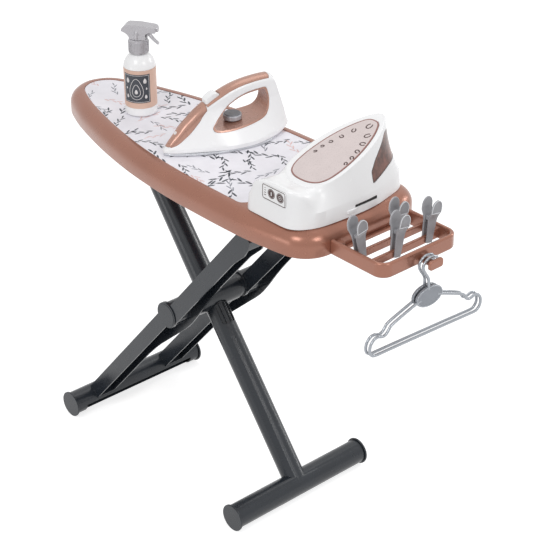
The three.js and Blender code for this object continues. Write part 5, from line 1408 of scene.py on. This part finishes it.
def under_skin(depths):
    """The region under the iron's ridge, moved in by a table of (place, depth)."""
    crown = np.array([(along, read(IRON_TOPS, along)) for along in np.linspace(0, 172, 90)])
    along = np.gradient(crown, axis=0)
    along /= np.linalg.norm(along, axis=1)[:, None]
    inwards = np.array([[read(depths, place)] for place in crown[:, 0]])
    inner = crown + inwards * np.column_stack([along[:, 1], -along[:, 0]])
    inner = inner[np.concatenate([[True], np.diff(np.maximum.accumulate(inner[:, 0])) > 0.01])]
    first, last = inner[0], inner[-1]
    below = [(last[0] + 8, last[1]), (last[0] + 8, -8), (first[0] - 8, -8), (first[0] - 8, first[1])]
    return sideways(np.vstack([inner, below])[::-1])


def front_cover_plan(grow):
    """The front cover from above: an arch over the iron's tip with a straight end."""
    side = [(0, FRONT_COVER_SIDE[0][1] - grow)]
    side += [(x + grow, along - grow) for x, along in FRONT_COVER_SIDE[1:]]
    curve = through(side, 24)
    right = np.vstack([curve, [(curve[-1][0], FRONT_COVER_END + grow)]])
    left = right[:0:-1] * (-1, 1)
    return np.vstack([right, left])


def sideways(outline, reach=60):
    """A side view of the iron, pushed across past both of its sides."""
    return prism(outline, -reach, reach, "X")


def upwards(plan, bottom):
    """A plan of the iron, pushed up past its ridge."""
    return prism(plan, bottom, 110)


def handle_cover_plan(grow):
    """The handle cover from above."""
    width, length = HANDLE_COVER_SIZE
    return rounded(width + 2 * grow, length + 2 * grow, 9 + grow, 6, HANDLE_COVER_MIDDLE)


def button_plan(grow):
    """The steam button from above."""
    width, length = BUTTON_SIZE
    return rounded(width + 2 * grow, length + 2 * grow, 3.5 + grow, 6, BUTTON_MIDDLE)


def skin_band(name, plan, depths, bottom=4):
    """What lies within a plan, between the iron's skin and the depths under it."""
    return combined(built(name, upwards(plan, bottom)), under_skin(depths), "DIFFERENCE")


class TOY_OT_iron(bpy.types.Operator):
    """Make the iron's body, covers, liner, dial, steam button, nozzle and sole"""
    bl_idname = "toy.iron"
    bl_label = "Iron"

    def execute(self, context):
        white, rose = finish("white gloss"), finish("rose gold trim")
        self.body(white)
        self.liner(rose)
        self.cover("iron_front_cover", front_cover_plan(0), FRONT_COVER_DEPTHS, rose)
        self.cover("iron_handle_cover", handle_cover_plan(0), [(0, HANDLE_COVER_DEPTH)], rose)
        self.dial()
        self.steam_button(white)
        nozzle = built("iron_nozzle_moulding", turned(NOZZLE_PROFILE, 40))
        nozzle.data.transform(Matrix.Translation(Vector(NOZZLE_TIP) * MM)
                              @ Matrix.Rotation(math.radians(NOZZLE_TURN), 4, "X"))
        completed(stood(nozzle, *IRON_SEAT), white, "iron", "white_plastic", "iron_spray_nozzle")
        outline = sole_ring(0, SOLE_HALF, SOLE_HEEL, SOLE_TIP, 0)[::-1]
        sole = built("iron_sole_moulding", prism(outline, 0, SOLE_THICKNESS, edge=0.9))
        combined(sole, block(*SOLE_KEY), "UNION")
        completed(stood(sole, *IRON_SEAT), finish("sole plastic"), "iron", "silver_plastic", "iron_soleplate")
        return {"FINISHED"}

    def body(self, white):
        """Both halves of the body, with the seats of the covers, the button and the sole's key cut out."""
        whole = built("iron_whole", iron_form(0))
        combined(whole, sideways(opening_outline(-1.5), 61), "DIFFERENCE")
        front_depths = [(along, depth + COVER_GAP) for along, depth in FRONT_COVER_DEPTHS]
        handle_depths = [(0, HANDLE_COVER_DEPTH + COVER_GAP)]
        for name, plan, depths, bottom in (
                ("front seat", front_cover_plan(COVER_GAP), front_depths, 4),
                ("handle seat", handle_cover_plan(COVER_GAP), handle_depths, 4),
                ("button well", button_plan(COVER_GAP), [(0, WELL_DEPTH)], BUTTON_BOTTOM)):
            combined(whole, skin_band(name, plan, depths, bottom), "DIFFERENCE")
        combined(whole, block(*KEY_ROOM, 0.2), "DIFFERENCE")
        for node, low, high in (("iron_body_near", 0.125, 70), ("iron_body_far", -70, -0.125)):
            half = shown(node + "_moulding", whole.data.copy())
            side = prism(rounded(high - low, 240, 0.01, 1, ((low + high) / 2, 100)), -5, 120)
            combined(half, side, "INTERSECT")
            completed(stood(half, *IRON_SEAT), white, "iron", "white_plastic", node, angle=30, level=False)
        bpy.data.objects.remove(whole)

    def liner(self, rose):
        """The band that lines the hand's opening."""
        liner = built("iron_liner_moulding", iron_form(0.25))
        combined(liner, sideways(opening_outline(-LINER_HALF)), "INTERSECT")
        combined(liner, sideways(opening_outline(LINER_HALF), 61), "DIFFERENCE")
        completed(stood(liner, *IRON_SEAT), rose, "iron", "rose_gold_trim", "iron_handle_liner", level=False)

    def cover(self, node, plan, depths, rose):
        """A cover that lies flush in its seat in the body."""
        cover = skin_band(node + "_moulding", plan, depths)
        combined(cover, iron_form(-0.15), "INTERSECT")
        if node == "iron_handle_cover":
            combined(cover, upwards(button_plan(COVER_GAP), BUTTON_BOTTOM), "DIFFERENCE")
        completed(stood(cover, *IRON_SEAT), rose, "iron", "rose_gold_trim", node, level=False)

    def dial(self):
        """The temperature dial: a paler grip under a darker, mottled top."""
        dial = built("iron_dial_moulding", turned(DIAL_PROFILE, 72))
        painted(dial, finish("dial side"), finish("dial top"))
        for face in dial.data.polygons:
            if face.center.z > DIAL_TOP * MM:
                face.material_index = 1
        dial.data.transform(Matrix.Translation(Vector(DIAL_SEAT) * MM))
        shaded(stood(dial, *IRON_SEAT))
        handed_over(dial, "temperature_dial", "slate_plastic", "iron_dial")

    def steam_button(self, white):
        """The steam button: its side view, cut to its plan and hollowed."""
        button = built("iron_steam_button_moulding", sideways(np.array(BUTTON_SIDE)[::-1]))
        combined(button, under_skin([(0, BUTTON_DEPTH)]), "DIFFERENCE")
        combined(button, upwards(button_plan(0), BUTTON_BOTTOM), "INTERSECT")
        softened(button, 0.7 * MM, 30, 3)
        completed(stood(button, *IRON_SEAT), white, "steam_button", "white_plastic", "iron_steam_button")


# The spray bottle, about its own axis

BOTTLE_SEAT = ((-217.0, -13.5, 540.3), 35.0)
BOTTLE_RADIUS = 24.6
BOTTLE_FOOT = [(0.01, 0), (20.6, 0), (22.4, 0.4), (23.6, 1.4), (24.3, 2.8), (24.6, 4.5), (24.6, 13.2), (24.4, 13.7),
               (23.7, 14)]
BOTTLE_SHOULDER = [(23.7, 74.6), (24.4, 75.0), (24.5, 75.8), (23.7, 79), (21.8, 84.5), (18.4, 90), (14.0, 94.4),
                   (11.4, 95.6), (11, 97)]
BOTTLE_NECK = [(11, 110), (8, 110), (8, 96), (0.01, 95)]
WRAP_LOW, WRAP_HIGH, WRAP_THICKNESS = 14.3, 74.3, 0.55
WRAP_RADIUS = BOTTLE_RADIUS - 0.1
COLLAR_RADIUS = 15.0
COLLAR_PROFILE = [
    (11.3, 97), (14.6, 97), (15.0, 97.4), (15.0, 115.0), (14.5, 115.6), (14, 115.7), (14, 117.6), (13.6, 118),
    (6.4, 118), (6.4, 111), (11.3, 111), (11.3, 97)]
HEAD_BULGE = [
    (0.01, 117.9), (9.6, 117.9), (10.6, 119), (10.7, 123), (10.3, 127), (9.5, 130.5), (8.0, 133.2), (5.4, 135.3),
    (0.01, 136.4)]
BULGE_ACROSS, BULGE_ALONG = 0.52, 1.22
LABEL_FACING = -87.4
LABEL_MIDDLE = 46.0
RINGED_DROPS = [(0, 45.5, 16.5), (0, 43.2, 9.6)]
SOLID_DROPS = [
    (-13.6, 58.6, 4.0), (13.6, 58.6, 4.0), (-14.6, 33.4, 3.0), (14.6, 33.4, 3.0), (0, 41.4, 3.6),
    (-15.8, 46.2, 1.8), (15.8, 46.2, 1.8)]


def on_wrap(shape, lift):
    """Bends a flat shape, drawn across and up, round the bottle."""
    corners, faces = shape
    radius = WRAP_RADIUS + lift + corners[:, 2]
    angle = np.radians(LABEL_FACING) - corners[:, 0] / BOTTLE_RADIUS
    return np.column_stack([radius * np.cos(angle), radius * np.sin(angle), corners[:, 1]]), faces


def grid(width, height, across, up, middle):
    """A thin sheet of small squares that can be bent round the bottle."""
    xs = np.linspace(-width / 2, width / 2, across + 1) + middle[0]
    zs = np.linspace(-height / 2, height / 2, up + 1) + middle[1]
    corners = np.array([(x, z, depth) for depth in (0.0, 0.12) for z in zs for x in xs])
    row, layer = across + 1, (across + 1) * (up + 1)
    faces = []
    for j in range(up):
        for i in range(across):
            a = j * row + i
            faces.append((a, a + 1, a + row + 1, a + row))
            faces.append((a + layer, a + layer + row, a + layer + row + 1, a + layer + 1))
    rim = [*range(across), *range(across, layer - 1, row), *range(layer - 1, up * row, -1), *range(up * row, 0, -row)]
    for a, b in zip(rim, rim[1:] + rim[:1]):
        faces.append((a, a + layer, b + layer, b))
    return corners, faces


def drop_outline(x, z, size):
    """A drop's outline, wide below and narrow above."""
    turns = np.radians(np.arange(0, 360, 9))
    across = x + size * 0.62 * np.sin(turns) * (1 - 0.32 * np.cos(turns))
    return np.column_stack([across, z + size * np.cos(turns)])[::-1]


class TOY_OT_bottle(bpy.types.Operator):
    """Make the spray bottle, its wrapped label, collar, spray head and trigger"""
    bl_idname = "toy.bottle"
    bl_label = "Spray bottle"

    def execute(self, context):
        shoulder = [tuple(point) for point in through(BOTTLE_SHOULDER, 40)]
        body = built("bottle_moulding", turned(BOTTLE_FOOT + shoulder + BOTTLE_NECK))
        completed(stood(body, *BOTTLE_SEAT), finish("white gloss"), "bottle", "white_plastic", "bottle_body")
        inner = WRAP_RADIUS - WRAP_THICKNESS
        wrap = built("bottle_wrap_sheet", turned([
            (inner, WRAP_LOW), (WRAP_RADIUS, WRAP_LOW), (WRAP_RADIUS, WRAP_HIGH), (inner, WRAP_HIGH)]))
        completed(stood(wrap, *BOTTLE_SEAT), finish("wrap label"), "bottle", "wrap_label", "bottle_label_wrap")
        self.label()
        self.collar(context.scene.toy_sizes.collar_ridges)
        head = finish("sprayer plastic")
        dressed("bottle_spray_head", head, "grey_plastic", 0.6 * MM, 40)
        dressed("bottle_trigger", head, "grey_plastic", 1.1 * MM, 40)
        bulge = built("bottle_head_bulge", turned(HEAD_BULGE, 64))
        for corner in bulge.data.vertices:
            corner.co.x *= BULGE_ACROSS
            corner.co.y *= BULGE_ALONG
        completed(stood(bulge, *BOTTLE_SEAT), head, "bottle", "grey_plastic", angle=40)
        return {"FINISHED"}

    def label(self):
        """A dark panel on the wrap with a light frame, one large drop and a few small ones."""
        panel = built("bottle_label_panel", on_wrap(grid(43.6, 45.5, 30, 2, (0, LABEL_MIDDLE)), 0.03))
        completed(stood(panel, *BOTTLE_SEAT), finish("wrap panel"), "bottle", "wrap_label", angle=50)
        light = [grid(40.4, 0.5, 28, 1, (0, z)) for z in (24.85, 67.15)]
        light += [grid(0.5, 42.6, 1, 2, (x, LABEL_MIDDLE)) for x in (-20.0, 20.0)]
        line = rounded(0.75, 0.12, 0.05, 1)
        light += [swept(at_height(drop_outline(*drop), 0.06), line, (0, 0, 1), True) for drop in RINGED_DROPS]
        light += [prism(drop_outline(*drop), 0.0, 0.12) for drop in SOLID_DROPS]
        motif = built("bottle_label_motif", on_wrap(joined(*light), 0.17))
        completed(stood(motif, *BOTTLE_SEAT), finish("wrap motif"), "bottle", "wrap_label", angle=50)

    def collar(self, ridge_count):
        """The screwed collar with grip ridges round it."""
        grey = finish("sprayer plastic")
        collar = built("bottle_collar_moulding", turned(COLLAR_PROFILE, 80))
        completed(stood(collar, *BOTTLE_SEAT), grey, "bottle", "grey_plastic", "bottle_collar")
        angles = [2 * math.pi * i / ridge_count for i in range(ridge_count)]
        places = [(COLLAR_RADIUS * math.cos(a), COLLAR_RADIUS * math.sin(a), 106.2) for a in angles]
        ridges = points_with("bottle_collar_ridges", places, turn=angles, reach=[1.1 * MM] * ridge_count)
        block_pattern().used_on(ridges, Thickness=0.9 * MM, Height=16.6 * MM, Material=grey)
        handed_over(stood(ridges, *BOTTLE_SEAT), "bottle", "grey_plastic")


# Clothes pegs: where each stands along and across the board, and how far it leans in degrees

PEGS = [(292.8, -46.8, 9), (292.8, 19.8, -6), (320.2, -7.9, -9), (320.2, 52.3, -9)]
PEG_JAW = 2.8
PEG_INNER = [(-10.5, 0), (18, 0), (26, 0.5), (36, 4.3), (53, 4.9)]
PEG_OUTER = [(-10.5, 2.6), (8, 3), (18, 2.7), (25, 3.2), (36, 6.8), (53, 7.2)]
PEG_WIDTHS = [(-10.5, 5.8), (0, 6.3), (10, 7.0), (21.5, 8.1), (28.5, 8.9), (34, 9.4), (40, 9.4)]
PADDLE_START = 40.0
PADDLE_ROUND = 11.8
PADDLE_CREASE = 33.0
RIM_HIGHLIGHT_INSET = 0.6


def paddle_half(z, inset=0.0):
    """Half the width of a peg's arm at a height, with the rounded end of its paddle."""
    half = read(PEG_WIDTHS, min(z, PADDLE_START)) - inset
    if z > PADDLE_START:
        half *= math.sqrt(max(1 - ((z - PADDLE_START) / (PADDLE_ROUND - inset)) ** 2, 0.0))
    return half


def peg_arm(side):
    """One arm of the peg, from its jaw to the rounded paddle with its raised rim."""
    heights = np.concatenate([[-10.5, -10.1], np.linspace(-9, 34, 30), np.linspace(35, PADDLE_START, 8),
                              PADDLE_START + PADDLE_ROUND * np.sin(np.radians(np.linspace(8, 88, 14)))])
    rings = []
    for z in heights:
        inner = PEG_JAW + read(PEG_INNER, z)
        outer = PEG_JAW + read(PEG_OUTER, z)
        half = paddle_half(z)
        tip = 0.45 if z < -10.2 else 0.0
        rim = min(1.3, half * 0.3)
        dish = 0.6 * smoothstep(z, PADDLE_CREASE, PADDLE_CREASE + 0.8)
        dish *= smoothstep(PADDLE_START - 0.8 + PADDLE_ROUND - z, 0, 1.2)
        soft = min(0.7, half * 0.2)
        outline = [
            (inner + tip, -half + soft + tip), (inner + soft, -half + tip), (outer - soft, -half + tip),
            (outer - tip, -half + soft + tip), (outer - tip, -half + rim), (outer - dish, -half + rim + 0.4),
            (outer - dish, half - rim - 0.4), (outer - tip, half - rim), (outer - tip, half - soft - tip),
            (outer - soft, half - tip), (inner + soft, half - tip), (inner + tip, half - soft - tip),
        ]
        rings.append(np.array([(side * x, y, z) for x, y in outline]))
    return lofted(rings)


def peg_rim_highlight(side):
    """A painted highlight: the light line round the paddle and across its foot."""
    round_end = PADDLE_START + (PADDLE_ROUND - RIM_HIGHLIGHT_INSET) * np.sin(np.radians(np.linspace(10, 90, 12)))
    heights = np.concatenate([np.linspace(PADDLE_CREASE, PADDLE_START, 8), round_end])
    edge = np.array([(PEG_JAW + read(PEG_OUTER, z) - 0.1, paddle_half(z, RIM_HIGHLIGHT_INSET), z) for z in heights])
    foot = [(edge[0][0], y, PADDLE_CREASE) for y in np.linspace(-edge[0][1], edge[0][1], 8)[1:-1]]
    path = np.vstack([edge, edge[-2::-1] * (1, -1, 1), foot])
    section = rounded(1.15, 0.8, 0.25, 2)
    (low, inner), (high, outer) = PEG_OUTER[-2:]
    up = np.array((high - low, 0, inner - outer))
    up = up / np.linalg.norm(up)
    corners, faces = swept(path, section, up, closed=True)
    return corners * (side, 1, 1), faces


class TOY_OT_pegs(bpy.types.Operator):
    """Make the clothes pegs on the rack's slats"""
    bl_idname = "toy.pegs"
    bl_label = "Clothes pegs"

    def execute(self, context):
        bridge = prism(rounded(7.6, 10.6, 1, 3), 21.5, 26.5, edge=0.5)
        shape = joined(peg_arm(-1), peg_arm(1), bridge)
        rims = joined(peg_rim_highlight(-1), peg_rim_highlight(1))
        for number, (x, y, lean) in enumerate(PEGS, 1):
            node, body, place = f"clothes_peg_{number}", f"peg_{number}", (x, y, SLAT_TOP)
            peg = built(node + "_moulding", placed(shape, lean, place, "X"))
            completed(peg, finish("slate plastic"), body, "slate_plastic", node, angle=38)
            # The light line on each paddle's rim and crease is a painted highlight
            rim = built(node + "_rim", placed(rims, lean, place, "X"))
            completed(rim, finish("slate rim"), body, "slate_plastic", angle=38)
        return {"FINISHED"}


# Hangers

HANGERS = {"hanger_front": (369.0, "front_hanger"), "hanger_back": (361.6, "back_hanger")}
HANGER_TILT = -2.7
HANGER_BADGE = np.array([0.5, -50.5])
BADGE_HALF_WIDTH, BADGE_HALF_HEIGHT, BADGE_HALF_DEPTH = 24.5, 15.0, 1.6
HANGER_BAR = [(36, -56.3), (0, -56.3), (-36, -56.3)]
HANGER_HALF_ROUTE = [
    (16, -2), (26, -5), (56, -15.5), (69, -21), (72.8, -25.2), (76.8, -30), (82, -32.2), (87.6, -31.2),
    (92.8, -29.7), (99.5, -31.2), (105, -37.2), (106.6, -44.4), (104.9, -51.2), (99.9, -55.5), (93.6, -56.6),
    (86, -56.6), (70, -56.5),
]
HOOK_ROUTE = [
    (14, -3), (13, 2), (9.7, 5.9), (1, 7.6), (-6.5, 5.7), (-11.6, 1.4), (-13, -2.3), (-12.2, -6.9), (-9.2, -12.4),
    (-5.1, -18.3), (-2.1, -23.8), (-1.3, -28.4), (-1.4, -40),
]


def hanger_shape():
    """The hanger's bars with their hook and the badge's rims, and the badge by itself."""
    tilt = np.array(Matrix.Rotation(math.radians(HANGER_TILT), 2))
    left = [(-y, z) for y, z in reversed(HANGER_HALF_ROUTE)]
    route = np.array(HANGER_HALF_ROUTE + HANGER_BAR + left) @ tilt.T + HANGER_BADGE
    section = rounded(4.0, 3.6, 1.5, 4)
    parts = []
    for points, count in ((route, 230), (np.array(HOOK_ROUTE, float), 70)):
        line = through(points, count)
        parts.append(swept(np.column_stack([np.zeros(count), line]), section, (1, 0, 0)))
    angles = np.radians(np.arange(0, 360, 5))
    oval = np.column_stack([BADGE_HALF_WIDTH * np.cos(angles), BADGE_HALF_HEIGHT * np.sin(angles)])
    oval = oval @ tilt.T + HANGER_BADGE
    badge = prism(oval, -BADGE_HALF_DEPTH, BADGE_HALF_DEPTH, "X", edge=0.5)
    rim = moved_in(oval, 1.2)
    for x in (-BADGE_HALF_DEPTH, BADGE_HALF_DEPTH):
        parts.append(swept(np.column_stack([np.full(len(rim), x), rim]), rounded(1.5, 0.9, 0.35, 3), (1, 0, 0), True))
    return joined(*parts), badge


class TOY_OT_hangers(bpy.types.Operator):
    """Make the two hangers on the knob"""
    bl_idname = "toy.hangers"
    bl_label = "Hangers"

    def execute(self, context):
        bars, badge = hanger_shape()
        for node, (x, body) in HANGERS.items():
            hanger = built(node + "_moulding", placed(bars, move=(x, *KNOB)))
            completed(hanger, finish("silver plastic"), body, "silver_plastic", node, angle=38)
            middle = built(node + "_badge", placed(badge, move=(x, *KNOB)))
            completed(middle, finish("badge plastic"), body, "silver_plastic", angle=38)
        return {"FINISHED"}


# Camera, lamps, floor and background

EYE = Vector((1.6897, -1.4368, 1.5961))
BACK = Vector((0.65080, -0.57757, 0.49282)).normalized()
AZIMUTH = 48.41
ROLL = -0.26
SENSOR_WIDTH, FOCAL_LENGTH = 36, 111.505
FLOOR_REACH = 9000.0
FLOOR_GLOW = 0.72
SKY_ON_OBJECT, SKY_SEEN = 0.57, 1.0
LAMPS_AIM = Vector((0, 0, 0.4))

# Each lamp: its name, its place in metres, the side of its square and its power in watts

LAMPS = [
    ("key", (0.6, -2.4, 2.65), 1.1, 25.0),
    ("rim", (0.9, 2.7, 1.6), 0.7, 13.0),
    ("side", (2.35, 0.0, 2.1), 0.9, 14.0),
    ("low", (-0.6, -2.7, 0.5), 0.8, 5.0),
    ("top", (-0.6, 1.0, 2.8), 1.4, 8.0),
]


class TOY_OT_stage(bpy.types.Operator):
    """Set up the camera, the lamps, the pale floor and the white background"""
    bl_idname = "toy.stage"
    bl_label = "Camera, lamps and floor"

    def execute(self, context):
        self.camera(context)
        self.floor()
        self.world(context)
        self.lamps()
        context.scene.view_settings.view_transform = "Standard"
        return {"FINISHED"}

    def camera(self, context):
        """A long lens at the eye, looking against the back vector and rolled a little."""
        level = Vector((math.cos(math.radians(AZIMUTH)), math.sin(math.radians(AZIMUTH)), 0))
        level = (level - BACK * level.dot(BACK)).normalized()
        upright = BACK.cross(level)
        cosine, sine = math.cos(math.radians(ROLL)), math.sin(math.radians(ROLL))
        right = cosine * level + sine * upright
        up = cosine * upright - sine * level
        data = bpy.data.cameras.new("camera")
        data.sensor_fit = "HORIZONTAL"
        data.sensor_width = SENSOR_WIDTH
        data.lens = FOCAL_LENGTH
        data.clip_start, data.clip_end = 0.05, 100
        camera = shown("camera", data)
        turn = Matrix((right, up, BACK)).transposed().to_4x4()
        camera.matrix_world = Matrix.Translation(EYE) @ turn
        context.scene.camera = camera

    def seen(self, sheet):
        """1 where the camera, a reflection or a clear piece looks, and 0 for light on the object."""
        path = sheet.add("ShaderNodeLightPath").outputs
        both = sheet.math("MAXIMUM", path["Is Camera Ray"], path["Is Glossy Ray"])
        return sheet.math("MAXIMUM", both, path["Is Transmission Ray"])

    def floor(self):
        """A pale floor that the camera sees as white, and that the object's light sees as grey."""
        material, sheet = blank(bpy.data.materials, "studio floor")
        tone = sheet.mix(sheet.noise(sheet.place(), 2.0), (0.58, 0.58, 0.585, 1), (0.62, 0.62, 0.625, 1))
        pale = sheet.add("ShaderNodeBsdfDiffuse", {"Color": tone}).outputs[0]
        glow = sheet.add("ShaderNodeEmission", {
            "Color": (1, 1, 1, 1), "Strength": sheet.math("MULTIPLY", self.seen(sheet), FLOOR_GLOW)}).outputs[0]
        both = sheet.add("ShaderNodeAddShader", {0: pale, 1: glow}).outputs[0]
        sheet.add("ShaderNodeOutputMaterial", {"Surface": both})
        square = np.array([(-1, -1, 0), (1, -1, 0), (1, 1, 0), (-1, 1, 0)]) * FLOOR_REACH
        painted(built("studio_floor", (square, [(0, 1, 2, 3)])), material)

    def world(self, context):
        """White where it is seen, and dimmer as light on the object."""
        world, sheet = blank(bpy.data.worlds, "studio")
        strength = sheet.ranged(self.seen(sheet), 0.0, 1.0, SKY_ON_OBJECT, SKY_SEEN)
        sky = sheet.add("ShaderNodeBackground", {"Color": (1, 1, 1, 1), "Strength": strength})
        sheet.add("ShaderNodeOutputWorld", {"Surface": sky.outputs[0]})
        context.scene.world = world

    def lamps(self):
        for name, place, size, power in LAMPS:
            data = bpy.data.lights.new(name, "AREA")
            data.size = size
            data.energy = power
            aim = (LAMPS_AIM - Vector(place)).to_track_quat("-Z", "Y")
            shown(name, data).matrix_world = Matrix.Translation(place) @ aim.to_matrix().to_4x4()


OPERATORS = (TOY_OT_board, TOY_OT_print, TOY_OT_rack, TOY_OT_legs, TOY_OT_station, TOY_OT_iron, TOY_OT_bottle,
             TOY_OT_pegs, TOY_OT_hangers, TOY_OT_stage)


class TOY_PT_panel(bpy.types.Panel):
    """Lists the pieces, sizes and colours of the toy ironing board"""
    bl_idname = "TOY_PT_panel"
    bl_label = "Toy ironing board"
    bl_space_type = "VIEW_3D"
    bl_region_type = "UI"
    bl_category = "Ironing board"

    def draw(self, context):
        for group in (context.scene.toy_sizes, context.scene.toy_finishes):
            column = self.layout.column()
            for name in group.__annotations__:
                column.prop(group, name)
        for operator in OPERATORS:
            self.layout.operator(operator.bl_idname)


CLASSES = (BoardSizes, BoardFinishes, *OPERATORS, TOY_PT_panel)


def register():
    for each in CLASSES:
        bpy.utils.register_class(each)
    bpy.types.Scene.toy_sizes = PointerProperty(type=BoardSizes)
    bpy.types.Scene.toy_finishes = PointerProperty(type=BoardFinishes)


def unregister():
    del bpy.types.Scene.toy_finishes
    del bpy.types.Scene.toy_sizes
    for each in reversed(CLASSES):
        bpy.utils.unregister_class(each)


def main():
    register()
    for operator in OPERATORS:
        group, name = operator.bl_idname.split(".")
        getattr(getattr(bpy.ops, group), name)()
    bpy.context.view_layer.update()


if __name__ == "__main__":
    main()
